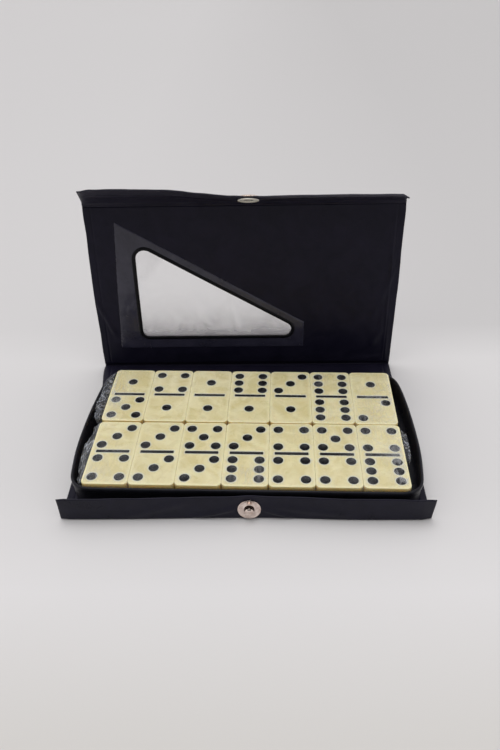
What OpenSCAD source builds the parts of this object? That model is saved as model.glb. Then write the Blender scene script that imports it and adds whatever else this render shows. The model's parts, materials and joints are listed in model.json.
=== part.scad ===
// Folding vinyl case for a double-six domino set, shown open with its lid standing.
// The origin is the centre of the base's underside, +X to the right, +Y to the back.

/* [Dominoes] */
// Width of one domino
tile_w = 24; // [20:0.5:30]
// Length of one domino
tile_l = 47.8; // [44:0.1:60]
// Thickness of one domino
tile_t = 7; // [5:0.5:10]
// Radius of a domino's corners, seen from above
tile_r = 2.8; // [1:0.1:4]
// Gap between neighbouring dominoes
tile_gap = 0.1; // [0.05:0.05:0.5]
// Diameter of a pip
pip_d = 5.3; // [3:0.1:6]
// Depth of a pip
pip_depth = 0.5; // [0.2:0.1:1]
// Distance between the outer columns of pips
pip_columns = 14.3; // [12:0.1:16]
// Distance between neighbouring rows of pips
pip_rows = 6.8; // [6:0.1:8]
// Length of the bar that divides a domino
bar_l = 18; // [12:0.5:19]
// Width of the dividing bar
bar_w = 2.1; // [1:0.1:3]
// Depth of the dividing bar
bar_depth = 0.4; // [0.2:0.1:1]

/* [Shrink film] */
// Thickness of the film round a pack
film_t = 0.1; // [0.05:0.01:0.3]
// Gap between the film and the dominoes
film_gap = 0.05; // [0.02:0.01:0.2]
// Gap between the two packs
pack_gap = 0.2; // [0.1:0.1:2]
// Gap between a pack and the tray's floor
seat_gap = 0.1; // [0.05:0.05:0.5]

/* [Tray] */
// Thickness of the tray's wall
tray_wall = 0.9; // [0.6:0.1:2]
// Thickness of the tray's floor
tray_floor = 0.8; // [0.5:0.1:2]
// Room for a finger between the packs' ends and the tray's wall
finger_gap = 5.6; // [5.2:0.1:15]
// Gap between the packs and the tray's front and back walls
tray_gap = 0.7; // [0.4:0.1:3]
// Outer radius of the tray's corners
tray_corner = 11; // [6:0.5:16]
// How far the tray's end walls bow outwards
tray_bow = 2.4; // [0:0.1:5]
// How far the tray's rim lies below the tops of the dominoes
rim_drop = 2; // [0:0.1:5]
// Angle by which the tray is set askew on the base
tray_turn = -1.6; // [-2:0.1:2]
// How far the tray is set to the right of the base's middle
tray_shift = 1.2; // [-1.5:0.1:1.5]
// Base left clear in front of the tray
front_margin = 3.7; // [3.6:0.1:10]
// Base left clear behind the tray
rear_margin = 6.7; // [5:0.1:12]
// Base left clear beyond the tray's end walls
side_margin = 1.9; // [1.5:0.1:8]

/* [Sheets and boards] */
// Thickness of the outer vinyl sheet
cover_t = 0.5; // [0.3:0.1:1]
// Thickness of the stiffening boards
board_t = 1; // [0.6:0.1:2]
// Thickness of the inner vinyl sheet
lining_t = 0.4; // [0.2:0.1:0.8]
// Width of the weld that joins the two sheets round a board
weld_w = 2.5; // [1.5:0.1:4]
// Gap between a board and the weld round it
board_gap = 0.2; // [0.1:0.1:1]
// Half of the gap left in the outer sheet at a fold
fold_gap = 0.3; // [0.3:0.05:0.6]
// Distance from a fold to the weld beside it
fold_room = 2; // [1.9:0.1:4]
// Room between the packs and the closed lid's window bead
lid_room = 2.6; // [1:0.1:10]
// Angle by which the open lid leans back from upright
lid_lean = 5; // [0:1:30]

/* [Lip and flap] */
// Height of the front flap
flap_h = 15.5; // [14:0.1:18]
// Length of the closing lip
lip_l = 21.4; // [21:0.1:22]
// Angle of the open lip above level
lip_rise = 24; // [0:1:80]

/* [Window] */
// Length of the window's level leg
window_w = 108; // [60:1:120]
// Length of the window's upright leg
window_h = 62; // [40:1:70]
// Radius of the window's corners
window_r = 4.2; // [2:0.1:8]
// Distance of the window's square corner from the lid's left edge
window_left = 27.85; // [20:0.05:50]
// Distance of the window's lower edge from the fold at the lid's foot
window_up = 23.7; // [20:0.1:30]
// Width of the weld bead round the window
bead_w = 2.3; // [1.5:0.1:4]
// Height of the weld bead above the film
bead_h = 0.6; // [0.3:0.1:1.5]
// Thickness of the clear window film
window_t = 0.2; // [0.1:0.05:0.5]
// Film beyond the window's left edge
film_left = 13.8; // [5:0.1:16]
// How far the film's left edge leans in towards its top
film_lean = 3.8; // [0:0.1:6]
// Film below the window's lower edge
film_below = 8.7; // [5:0.1:12]
// Film above the window's sloping edge, measured upright
film_over = 7.9; // [6:0.1:12]
// Distance from the window's sharp tip back to the film's right end
film_cut = 3.8; // [0:0.1:10]

/* [Snap] */
// How far the snap sits to the right of the case's middle
snap_shift = 2.3; // [-5:0.1:5]
// Height of the stud's centre above the base's underside
stud_z = 7; // [7:0.1:8]
// Diameter of the stud's flange
stud_d = 12; // [10:0.1:13]
// Thickness of the stud's flange
stud_flange = 0.45; // [0.3:0.05:0.8]
// Height of the stud from the flap's face to its tip
stud_h = 3; // [2.8:0.1:3.2]
// Diameter of the stud's head
head_d = 4.7; // [4.4:0.1:4.8]
// Diameter of the stud's neck
neck_d = 3.8; // [3.4:0.05:3.85]
// Clearance between the stud's head and the socket's bore, all round
socket_gap = 0.3; // [0.25:0.05:0.5]
// Diameter of the socket's flange
socket_d = 11.2; // [10:0.1:12]
// Height of the socket above the lip
socket_h = 0.85; // [0.8:0.05:1.1]
// Gap between stud flange and socket when the case is closed
clasp_gap = 0.3; // [0.2:0.05:1]
// Diameter of the cap outside the lip
cap_d = 12.4; // [11:0.1:12.8]
// Height of the cap
cap_h = 1.3; // [1.2:0.1:2]
// Thickness of the pressed metal
metal_t = 0.4; // [0.3:0.05:0.5]
// Diameter of the socket's spring wire
wire_d = 0.5; // [0.3:0.05:0.55]

/* [Hidden] */
$fn = 48;
// Columns of dominoes in a pack, and layers
columns = 7;
layers = 2;
// The two ends of each domino, far end first, from left to right
FRONT_TOP = [[3, 4], [3, 3], [5, 3], [3, 6], [4, 4], [5, 4], [4, 6]];
FRONT_BOTTOM = [[0, 0], [0, 1], [0, 2], [0, 3], [0, 4], [0, 5], [0, 6]];
BACK_TOP = [[1, 5], [4, 1], [1, 1], [6, 1], [3, 1], [6, 6], [1, 2]];
BACK_BOTTOM = [[2, 2], [2, 3], [2, 4], [2, 5], [2, 6], [5, 5], [5, 6]];
PACKS = [[FRONT_BOTTOM, FRONT_TOP], [BACK_BOTTOM, BACK_TOP]];
function domino_name(ends) = str("domino_", min(ends), "_", max(ends));

CASE_NODES = [
    "base_cover", "base_board", "base_lining", "tray", "front_flap", "flap_lining",
    "snap_stud", "stud_rivet", "spine_cover", "spine_board", "spine_lining",
    "lid_cover", "lid_board", "lid_lining", "window_film", "window_bead",
    "closing_lip", "lip_lining", "snap_cap", "snap_socket", "socket_spring",
    "film_front", "film_back"
];

// Packs: dominoes side by side in film
pitch = tile_w + tile_gap;
row_w = columns * pitch - tile_gap;
wrap = film_gap + film_t;
pack_w = row_w + 2 * wrap;
pack_d = tile_l + 2 * wrap;
stack_h = layers * (tile_t + tile_gap) - tile_gap;

// Heights above the base's underside
lining_z = cover_t + board_t;
panel_t = lining_z + lining_t;
pack_z = panel_t + tray_floor + seat_gap;
tile_z = pack_z + wrap;
tile_top = tile_z + stack_h;
rim_z = tile_top - rim_drop;

// Tray: its inner half width and half depth, and the radius inside its corners
tray_hw = pack_w / 2 + finger_gap;
tray_hd = pack_d + pack_gap / 2 + tray_gap;
tray_r = tray_corner - tray_wall;
bow_steps = 4;
arc_steps = 8;

// Panels, from fold to fold
case_w = 2 * (tray_hw + tray_wall + tray_bow + side_margin);
base_d = front_margin + 2 * (tray_hd + tray_wall) + rear_margin;
tray_y = -base_d / 2 + front_margin + tray_wall + tray_hd;
fold_z = cover_t / 2;
lid_stack = panel_t - fold_z + window_t + bead_h;
spine_h = tile_top + wrap + lid_room + lid_stack - fold_z;
skin_t = cover_t + lining_t;
lid_l = base_d + skin_t + stud_flange + socket_h + clasp_gap;
crease_y = base_d / 2 + spine_h;
skin_room = skin_t;

// Angles of the lid from level and of the lip from the lid
lid_angle = 90 - lid_lean;
lip_angle = 180 - lip_rise - lid_angle;

// Snap: places on the flap and the lip, radii and depths
stud_up = stud_z - fold_z;
socket_up = fold_z + spine_h - stud_z;
stud_x = -snap_shift;
socket_x = snap_shift;
head_r = head_d / 2;
neck_r = neck_d / 2;
socket_r = head_r + socket_gap;
socket_foot = socket_r + metal_t / 2;
socket_rim = socket_r + 1.35;
hole_gap = 0.1;
rivet_r = 1.1;
rivet_flange = 4.5;
rivet_t = 0.35;
foot_r = 3.1;
foot_z = stud_flange + 0.2;
throat_r = head_r + 0.05;
throat_z = stud_flange + 0.65;
neck_top = throat_z + wire_d;
head_z = neck_top + 0.5;
tip_r = 1.3;
spring_open = 40;

// Window corner on the lid, and the angles at its two sharp corners
window_x = -case_w / 2 + window_left;
tip_angle = atan(window_h / window_w);
top_angle = 90 - tip_angle;

// Cuts run this far past a face
e = 0.5;

module rounded_rect(w, l, r) {
    square([w - 2 * r, l], center = true);
    square([w, l - 2 * r], center = true);
    for (x = [-1, 1], y = [-1, 1])
        translate([x * (w / 2 - r), y * (l / 2 - r)]) circle(r);
}

// Frames: each panel is drawn flat, hinged at y = 0, with its outer face at z = 0
module on_base() translate([0, -base_d / 2, 0]) children();
module on_spine() translate([0, base_d / 2, 0]) children();
module on_lid()
    translate([0, crease_y, fold_z]) rotate([lid_angle, 0, 0]) translate([0, 0, -fold_z]) children();
module on_lip()
    on_lid() translate([0, lid_l, fold_z]) rotate([lip_angle, 0, 0]) translate([0, 0, -fold_z]) children();
module on_flap()
    translate([0, -base_d / 2, fold_z]) rotate([90, 0, 180]) translate([0, 0, -fold_z]) children();
module in_tray() translate([tray_shift, tray_y, 0]) rotate([0, 0, tray_turn]) children();

// A level plate across the whole case, from y0 to y1
module plate(y0, y1, z, t, inset = 0)
    translate([-case_w / 2 + inset, y0, z]) cube([case_w - 2 * inset, y1 - y0, t]);

// Outer sheet of a stiffened panel, with the raised weld that pens in its board
module panel_cover(length) {
    plate(fold_gap, length - fold_gap, 0, cover_t);
    difference() {
        plate(fold_room, length - fold_room, cover_t, board_t);
        plate(fold_room + weld_w, length - fold_room - weld_w, cover_t - e, board_t + 2 * e, weld_w);
    }
}

module panel_board(length) {
    inset = weld_w + board_gap;
    plate(fold_room + inset, length - fold_room - inset, cover_t, board_t, inset);
}

module panel_lining(length) plate(fold_room, length - fold_room, lining_z, lining_t);

// Window outline on the lid, grown outwards by g: an arc round each corner
function toward(angle, r) = r * [cos(angle), sin(angle)];
function arc(centre, r, from, to) = [
    for (i = [0:arc_steps]) centre + toward(from + (to - from) * i / arc_steps, r)
];
module window_shape(g) {
    r = window_r + g;
    left = window_x + window_r;
    low = window_up + window_r;
    tip_x = window_x + window_w - window_r / tan(tip_angle / 2);
    top_y = window_up + window_h - window_r / tan(top_angle / 2);
    polygon(concat(
        arc([left, low], r, 180, 270),
        arc([tip_x, low], r, 270, 360 + top_angle),
        arc([left, top_y], r, top_angle, 180)
    ));
}

module window_cut(g, z, t) translate([0, 0, z - e]) linear_extrude(t + 2 * e) window_shape(g);

// Tray outline, grown by g from the inner wall: bowed ends, straight front and back
function tray_end(g) = [
    for (i = [1 - bow_steps:bow_steps - 1]) let (s = i / bow_steps)
        [tray_hw + g + tray_bow * (1 - s * s), s * (tray_hd - tray_r)]
];
function tray_half(g) = concat(
    tray_end(g),
    arc([tray_hw - tray_r, tray_hd - tray_r], tray_r + g, 0, 90),
    arc([tray_r - tray_hw, tray_hd - tray_r], tray_r + g, 90, 180)
);
module tray_outline(g) polygon(concat(tray_half(g), [for (p = tray_half(g)) -p]));

// Places of a number's pips, as steps of a column and a row from the half's centre
function pip_places(n) = concat(
    n % 2 == 1 ? [[0, 0]] : [],
    n >= 2 ? [[1, 1], [-1, -1]] : [],
    n >= 4 ? [[1, -1], [-1, 1]] : [],
    n == 6 ? [[1, 0], [-1, 0]] : []
);

module pips(n) {
    ball_r = (pip_d * pip_d / 4 + pip_depth * pip_depth) / (2 * pip_depth);
    for (p = pip_places(n))
        translate([p.x * pip_columns / 2, p.y * pip_rows, tile_t - pip_depth + ball_r])
            sphere(ball_r, $fn = 96);
}

module domino(ends) color("cornsilk") difference() {
    linear_extrude(tile_t) rounded_rect(tile_w, tile_l, tile_r);
    translate([0, tile_l / 4, 0]) pips(ends[0]);
    translate([0, -tile_l / 4, 0]) pips(ends[1]);
    translate([-bar_l / 2, -bar_w / 2, tile_t - bar_depth]) cube([bar_l, bar_w, bar_depth + e]);
}

// Centre of pack p's rows, measured back from the tray's centre
function pack_y(p) = (p - 0.5) * (pack_d + pack_gap);

module domino_at(p, layer, column)
    in_tray()
        translate([(column - (columns - 1) / 2) * pitch, pack_y(p), tile_z + layer * (tile_t + tile_gap)])
            domino(PACKS[p][layer][column]);

module pack_film(p) color("aliceblue", 0.3) in_tray() translate([0, pack_y(p), pack_z]) difference() {
    linear_extrude(stack_h + 2 * wrap) rounded_rect(pack_w, pack_d, tile_r + wrap);
    translate([0, 0, film_t]) linear_extrude(stack_h + 2 * film_gap)
        rounded_rect(pack_w - 2 * film_t, pack_d - 2 * film_t, tile_r + film_gap);
}

module base_cover() color("#17171e") on_base() panel_cover(base_d);
module base_board() color("#7d786d") on_base() panel_board(base_d);
module base_lining() color("#1b1b23") on_base() panel_lining(base_d);

module tray() color("#141419") in_tray() translate([0, 0, panel_t]) difference() {
    linear_extrude(rim_z - panel_t) tray_outline(tray_wall);
    translate([0, 0, tray_floor]) linear_extrude(rim_z - panel_t) tray_outline(0);
}

module front_flap() color("#17171e") on_flap() difference() {
    plate(fold_gap, flap_h - fold_z, 0, cover_t);
    translate([stud_x, stud_up, -e]) cylinder(h = skin_t + 2 * e, r = rivet_r + hole_gap);
}

module flap_lining() color("#1b1b23") on_flap() difference() {
    plate(skin_room, flap_h - fold_z, cover_t, lining_t);
    translate([stud_x, stud_up, -e]) cylinder(h = skin_t + 2 * e, r = rivet_r + hole_gap);
}

// Stud on the flap's outer face: flange, foot, throat, neck and head round a blind bore
module snap_stud() color("#c9b3aa") on_flap() translate([stud_x, stud_up, 0]) rotate([180, 0, 0])
    rotate_extrude() polygon([
        [rivet_r + hole_gap, 0], [stud_d / 2, 0], [stud_d / 2, stud_flange],
        [foot_r, stud_flange], [foot_r, foot_z], [throat_r, foot_z], [throat_r, throat_z],
        [neck_r, throat_z], [neck_r, neck_top], [head_r, head_z],
        [(head_r + tip_r) / 2 + metal_t, stud_h - metal_t / 2], [tip_r, stud_h], [0, stud_h],
        [0, neck_top], [rivet_r + hole_gap, neck_top]
    ]);

// Rivet inside the flap: a flat head and a barrel into the stud's bore
module stud_rivet() color("#a89c94") on_flap() translate([stud_x, stud_up, 0]) {
    translate([0, 0, skin_t]) cylinder(h = rivet_t, r = rivet_flange);
    translate([0, 0, -throat_z]) cylinder(h = throat_z + skin_t + rivet_t / 2, r = rivet_r);
}

module spine_cover() color("#17171e") on_spine() panel_cover(spine_h);
module spine_board() color("#7d786d") on_spine() panel_board(spine_h);
module spine_lining() color("#1b1b23") on_spine() panel_lining(spine_h);

module lid_cover() color("#17171e") on_lid() {
    difference() {
        panel_cover(lid_l);
        window_cut(0, 0, cover_t);
    }
    translate([0, 0, cover_t]) linear_extrude(board_t) difference() {
        window_shape(bead_w);
        window_shape(0);
    }
}

module lid_board() color("#7d786d") on_lid() difference() {
    panel_board(lid_l);
    window_cut(bead_w + board_gap, cover_t, board_t);
}

module lid_lining() color("#1b1b23") on_lid() difference() {
    panel_lining(lid_l);
    window_cut(0, lining_z, lining_t);
}

// Clear film over the window, a cut-off triangle that overlaps the lining all round
function window_slope(x) = window_up + window_h * (1 - (x - window_x) / window_w);
module window_film() color("whitesmoke", 0.4) on_lid() translate([0, 0, panel_t]) linear_extrude(window_t) {
    left = window_x - film_left;
    right = window_x + window_w - film_cut;
    low = window_up - film_below;
    polygon([
        [left, low], [right, low], [right, window_slope(right) + film_over],
        [left + film_lean, window_slope(left + film_lean) + film_over]
    ]);
}

module window_bead() color("#101014") on_lid()
    translate([0, 0, panel_t + window_t]) linear_extrude(bead_h) difference() {
        window_shape(bead_w);
        window_shape(0);
    }

module closing_lip() color("#17171e") on_lip() difference() {
    plate(fold_gap, lip_l, 0, cover_t);
    translate([socket_x, socket_up, -e]) cylinder(h = skin_t + 2 * e, r = socket_foot + hole_gap);
}

module lip_lining() color("#1b1b23") on_lip() difference() {
    plate(skin_room, lip_l, cover_t, lining_t);
    translate([socket_x, socket_up, -e]) cylinder(h = skin_t + 2 * e, r = socket_foot + hole_gap);
}

// Domed cap outside the lip, hollow so that the stud's head has room
module snap_cap() color("#c9b3aa") on_lip() translate([socket_x, socket_up, 0]) rotate([180, 0, 0])
    rotate_extrude() polygon([
        [socket_foot + hole_gap, 0], [cap_d / 2, 0], [cap_d / 2, metal_t],
        [cap_d / 2 - 1, cap_h - 0.3], [cap_d / 2 - 2.4, cap_h], [0, cap_h],
        [0, cap_h - metal_t], [cap_d / 2 - 2.6, cap_h - metal_t], [socket_foot + hole_gap, metal_t]
    ]);

// Socket inside the lip: a flange, a raised ring and a foot through the lip's hole
module snap_socket() color("#b9a7a0") on_lip() translate([socket_x, socket_up, 0]) rotate_extrude() polygon([
    [socket_r, 0], [socket_foot, 0], [socket_foot, skin_t], [socket_d / 2, skin_t],
    [socket_d / 2, skin_t + metal_t], [socket_rim, skin_t + metal_t], [socket_rim, skin_t + socket_h],
    [socket_r, skin_t + socket_h]
]);

// Split spring ring that grips the stud's neck
module socket_spring() color("silver") on_lip()
    translate([socket_x, socket_up, skin_t + wire_d / 2]) rotate([0, 0, spring_open / 2])
        rotate_extrude(angle = 360 - spring_open)
            translate([socket_r - 0.15 - wire_d / 2, 0]) circle(d = wire_d);

base_cover();
base_board();
base_lining();
tray();
front_flap();
flap_lining();
snap_stud();
stud_rivet();
spine_cover();
spine_board();
spine_lining();
lid_cover();
lid_board();
lid_lining();
window_film();
window_bead();
closing_lip();
lip_lining();
snap_cap();
snap_socket();
socket_spring();
pack_film(0);  // film_front
pack_film(1);  // film_back
for (p = [0, 1], layer = [0:layers - 1], column = [0:columns - 1])
    domino_at(p, layer, column);
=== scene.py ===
"""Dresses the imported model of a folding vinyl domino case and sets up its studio."""

from __future__ import annotations

import json
import logging
import math
from dataclasses import dataclass, field
from enum import Enum
from typing import Optional, Sequence

import bpy
import numpy as np
from mathutils import Matrix, Vector
from mathutils.geometry import delaunay_2d_cdt

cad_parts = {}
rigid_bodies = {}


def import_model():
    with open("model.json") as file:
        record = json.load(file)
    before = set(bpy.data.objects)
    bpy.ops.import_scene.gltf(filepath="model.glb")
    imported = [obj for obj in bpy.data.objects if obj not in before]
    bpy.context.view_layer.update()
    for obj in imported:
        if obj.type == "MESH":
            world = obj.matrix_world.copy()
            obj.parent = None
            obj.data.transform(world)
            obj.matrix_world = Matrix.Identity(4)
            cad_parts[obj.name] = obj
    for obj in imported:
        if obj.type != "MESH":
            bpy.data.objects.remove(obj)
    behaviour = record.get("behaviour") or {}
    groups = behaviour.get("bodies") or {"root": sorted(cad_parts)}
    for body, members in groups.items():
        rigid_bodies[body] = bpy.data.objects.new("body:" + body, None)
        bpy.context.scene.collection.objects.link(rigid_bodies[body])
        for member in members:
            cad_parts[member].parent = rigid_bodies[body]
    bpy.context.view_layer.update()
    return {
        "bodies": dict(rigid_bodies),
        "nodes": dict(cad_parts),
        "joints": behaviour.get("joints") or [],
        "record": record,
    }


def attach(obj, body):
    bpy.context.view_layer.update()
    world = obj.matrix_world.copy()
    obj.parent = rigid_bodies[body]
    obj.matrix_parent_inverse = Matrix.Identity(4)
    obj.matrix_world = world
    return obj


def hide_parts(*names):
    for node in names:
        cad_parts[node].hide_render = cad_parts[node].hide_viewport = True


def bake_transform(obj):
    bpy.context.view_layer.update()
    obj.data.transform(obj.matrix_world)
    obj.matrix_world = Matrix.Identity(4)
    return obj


LOG = logging.getLogger("domino_case")
MM = 0.001
FAR = 1e9
# Where the snap is: right of the middle and above the lip's fold, and how far its halves tilt in degrees.
SNAP_X = 2.3
SNAP_UP = 15.25
LIP_TILT = 8.0
FLAP_TILT = 7.0
Array = np.ndarray
Loop = list[tuple[float, float]]
Faces = list[list[int]]
Point = tuple[float, float, float]
Colour = tuple[float, float, float, float]


def srgb(*screen: int) -> Colour:
    """A colour given in screen values, as the linear colour a shader takes."""
    red, green, blue = (c / 255 / 12.92 if c < 11 else ((c / 255 + 0.055) / 1.055) ** 2.4 for c in screen)
    return (red, green, blue, 1.0)


def smooth(value: Array, start: float, end: float) -> Array:
    """Smooth step of value from 0 at start to 1 at end."""
    t = np.clip((value - start) / (end - start), 0, 1)
    return t * t * (3 - 2 * t)


def hump(value: Array, centre: float, width: float) -> Array:
    """A bell of height 1 round centre that is down to a third at one width."""
    return np.exp(-(((value - centre) / width) ** 2))


def blotches(x: Array, y: Array, *rows: tuple[float, float, float, float, float]) -> Array:
    """Sum of soft spots.

    Args:
        x: places across.
        y: places along.
        rows: strength, x, half width, y and half depth of each spot.

    Returns:
        The sum at each place.
    """
    return sum(strength * hump(x, at_x, wide) * hump(y, at_y, deep)
               for strength, at_x, wide, at_y, deep in rows)


class Wander:
    """Seeded soft noise over a plane, from -1 to 1."""

    def __init__(self, seed: int, cell: float, stretch: float = 1.0) -> None:
        """Draws the lattice.

        Args:
            seed: fixed seed of the lattice.
            cell: size of one cell in millimetres.
            stretch: how much longer a cell is across the second direction.
        """
        self.lattice = np.random.default_rng(seed).uniform(-1, 1, (64, 64))
        self.cell = cell
        self.stretch = stretch

    def __call__(self, u: Array, v: Array) -> Array:
        """The noise at each place.

        Args:
            u: places in the first direction, in millimetres.
            v: places in the second.

        Returns:
            The noise, from -1 to 1.
        """
        a = np.asarray(u) / self.cell + 640
        b = np.asarray(v) / (self.cell * self.stretch) + 640
        i, j = np.floor(a).astype(int), np.floor(b).astype(int)
        f, g = a - i, b - j
        f, g = f * f * (3 - 2 * f), g * g * (3 - 2 * g)
        grid = self.lattice
        i0, i1, j0, j1 = i % 64, (i + 1) % 64, j % 64, (j + 1) % 64
        low = grid[i0, j0] * (1 - f) + grid[i1, j0] * f
        high = grid[i0, j1] * (1 - f) + grid[i1, j1] * f
        return low * (1 - g) + high * g


@dataclass(frozen=True)
class Pleat:
    """A soft ridge or groove along a line on a sheet, fading at both ends."""

    start: tuple[float, float]
    end: tuple[float, float]
    width: float
    height: float

    def __call__(self, u: Array, v: Array) -> Array:
        """Height of the ridge at each place (u, v)."""
        a, b = np.array(self.start), np.array(self.end)
        d = b - a
        t = ((u - a[0]) * d[0] + (v - a[1]) * d[1]) / (d @ d)
        side = ((u - a[0]) * d[1] - (v - a[1]) * d[0]) / math.sqrt(d @ d)
        fade = smooth(t, -0.15, 0.2) * (1 - smooth(t, 0.8, 1.15))
        return self.height * fade * np.exp(-((side / self.width) ** 2))


def piece(
    name: str,
    points: Array,
    faces: Sequence[Sequence[int]],
    materials: Sequence[bpy.types.Material],
    picks: Optional[Sequence[int]] = None,
    flat: bool = False,
) -> bpy.types.Object:
    """Makes an object from points in millimetres.

    Args:
        name: name of the object and of its mesh.
        points: places, in the case's frame, in millimetres.
        faces: vertex numbers of each face.
        materials: materials of the mesh.
        picks: material number of each face, or None for the first.
        flat: True for a faceted surface.

    Returns:
        The object, at the origin.
    """
    mesh = bpy.data.meshes.new(name)
    mesh.from_pydata((np.asarray(points, float) * MM).tolist(), [], [list(map(int, f)) for f in faces])
    for material in materials:
        mesh.materials.append(material)
    if picks is not None:
        mesh.polygons.foreach_set("material_index", np.asarray(picks, np.int32))
    mesh.validate()
    mesh.update()
    mesh.polygons.foreach_set("use_smooth", [not flat] * len(mesh.polygons))
    return put(name, mesh)


def put(name: str, data: Optional[bpy.types.ID]) -> bpy.types.Object:
    """Makes an object from its data and links it to the scene."""
    made = bpy.data.objects.new(name, data)
    bpy.context.scene.collection.objects.link(made)
    return made


def store(target: bpy.types.Object, name: str, values: Array) -> None:
    """Keeps one number per vertex on a mesh, for its material to read."""
    data = target.data.attributes.new(name, "FLOAT", "POINT")
    data.data.foreach_set("value", np.asarray(values, np.float32))


def loft(loops: Sequence[Array], caps: bool = True, closed: bool = False) -> tuple[Array, Faces]:
    """Joins loops of the same length into a surface.

    Args:
        loops: rings of points, each running counter-clockwise seen from the last ring's side.
        caps: True to close the first and the last ring.
        closed: True to join the last ring to the first.

    Returns:
        The points and the faces.
    """
    count = len(loops[0])
    faces: Faces = []
    for k in range(len(loops) - (0 if closed else 1)):
        here, there = k * count, ((k + 1) % len(loops)) * count
        for i in range(count):
            j = (i + 1) % count
            faces.append([here + i, here + j, there + j, there + i])
    if caps and not closed:
        last = (len(loops) - 1) * count
        faces.append(list(range(count - 1, -1, -1)))
        faces.append([last + i for i in range(count)])
    return np.concatenate(loops), faces


def at_height(loop: Array, z: object) -> Array:
    """A flat loop as points in space, at one height or at one for each point."""
    return np.column_stack([loop, np.broadcast_to(z, len(loop))])


def turned(degrees: float, axis: str) -> Matrix:
    """A turn about one axis."""
    return Matrix.Rotation(math.radians(degrees), 4, axis)


def wire(name: str, points: Array, pairs: Sequence[tuple[int, int]] = ()) -> bpy.types.Object:
    """An object of loose points and edges, in millimetres, for a node tree to read."""
    mesh = bpy.data.meshes.new(name + "_lines")
    mesh.from_pydata((points * MM).tolist(), list(pairs), [])
    return put(name, mesh)


def ring_pairs(count: int) -> list[tuple[int, int]]:
    """Edges of a closed loop."""
    return [(i, (i + 1) % count) for i in range(count)]


def sink(points: list[Sequence[float]], faces: Faces, start: int, rings: Sequence[Array]) -> None:
    """Adds a recess with a closed floor to a mesh.

    Args:
        points: the mesh's points, which the rings join.
        faces: the mesh's faces, which the walls and the floor join.
        start: number of the first point of the recess's rim.
        rings: loops of points on the way down, each as long as the rim.
    """
    count = len(rings[0])
    for ring in rings:
        below = len(points)
        points += ring.tolist()
        faces += [[start + i, start + j, below + j, below + i] for i, j in ring_pairs(count)]
        start = below
    faces.append(list(range(start, start + count)))


def sheet_faces(rows: int, columns: int) -> Faces:
    """Quads of a grid of points stored row by row."""
    return [[r * columns + c, r * columns + c + 1, (r + 1) * columns + c + 1, (r + 1) * columns + c]
            for r in range(rows - 1) for c in range(columns - 1)]


def doubled(top: Array, bottom: Array, rim: Array, faces: Faces) -> tuple[Array, Faces, Array]:
    """Closes a sheet from its two faces, which share their rim.

    Args:
        top: points of the upper face.
        bottom: points of the lower face, in the same order.
        rim: True for each point that both share.
        faces: faces of the upper one.

    Returns:
        The points, the faces, and which points the lower face repeats.
    """
    keep = np.nonzero(~rim)[0]
    under = np.arange(len(top))
    under[keep] = len(top) + np.arange(len(keep))
    lower = [[int(under[i]) for i in reversed(f)] for f in faces]
    return np.concatenate([top, bottom[keep]]), [*faces, *lower], keep


def between(a: Sequence[float], b: Sequence[float], cuts: int, first: int = 0) -> Loop:
    """Points on the way from a to b, in cuts equal steps, without b."""
    return [(a[0] + (b[0] - a[0]) * i / cuts, a[1] + (b[1] - a[1]) * i / cuts) for i in range(first, cuts)]


def rounded_rect(width: float, length: float, radius: float, steps: int = 6,
                 cuts: tuple[int, int] = (11, 5)) -> Array:
    """Points of a rounded rectangle round the origin, counter-clockwise.

    Args:
        width: size across.
        length: size along.
        radius: radius of the corners.
        steps: pieces of each corner.
        cuts: pieces of each long side and of each side across.

    Returns:
        The points, always as many for the same steps and cuts.
    """
    radius = max(radius, 0.05)
    places: Loop = []
    corners = [(1, -1, -90), (1, 1, 0), (-1, 1, 90), (-1, -1, 180)]
    for k, (sx, sy, turn) in enumerate(corners):
        cx, cy = sx * (width / 2 - radius), sy * (length / 2 - radius)
        for i in range(steps + 1):
            a = math.radians(turn + 90 * i / steps)
            places.append((cx + radius * math.cos(a), cy + radius * math.sin(a)))
        nx, ny, nturn = corners[(k + 1) % 4]
        a = math.radians(nturn)
        nxt = (nx * (width / 2 - radius) + radius * math.cos(a),
               ny * (length / 2 - radius) + radius * math.sin(a))
        places += between(places[-1], nxt, cuts[k % 2], 1)
    return np.array(places)


def circle(centre: tuple[float, float], radius: float, count: int) -> Array:
    """Points of a circle, counter-clockwise."""
    a = np.linspace(0, 2 * math.pi, count, endpoint=False)
    return np.column_stack([centre[0] + radius * np.cos(a), centre[1] + radius * np.sin(a)])


def inside(loop: Array, points: Array) -> Array:
    """Tells which points a closed loop holds.

    Args:
        loop: the loop's points.
        points: places to look at.

    Returns:
        True for each point inside.
    """
    x, y = points[:, 0], points[:, 1]
    result = np.zeros(len(points), bool)
    for (x0, y0), (x1, y1) in zip(loop, np.roll(loop, -1, axis=0)):
        crosses = (y0 > y) != (y1 > y)
        if abs(y1 - y0) > 1e-12:
            result ^= crosses & (x < (x1 - x0) * (y - y0) / (y1 - y0) + x0)
    return result


def distance(loop: Array, points: Array) -> Array:
    """Distance of each point from the closed loop."""
    best = np.full(len(points), FAR)
    for a, b in zip(loop, np.roll(loop, -1, axis=0)):
        d = b - a
        t = np.clip(((points - a) @ d) / (d @ d), 0, 1)
        best = np.minimum(best, np.hypot(*(points - a - t[:, None] * d).T))
    return best


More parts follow.
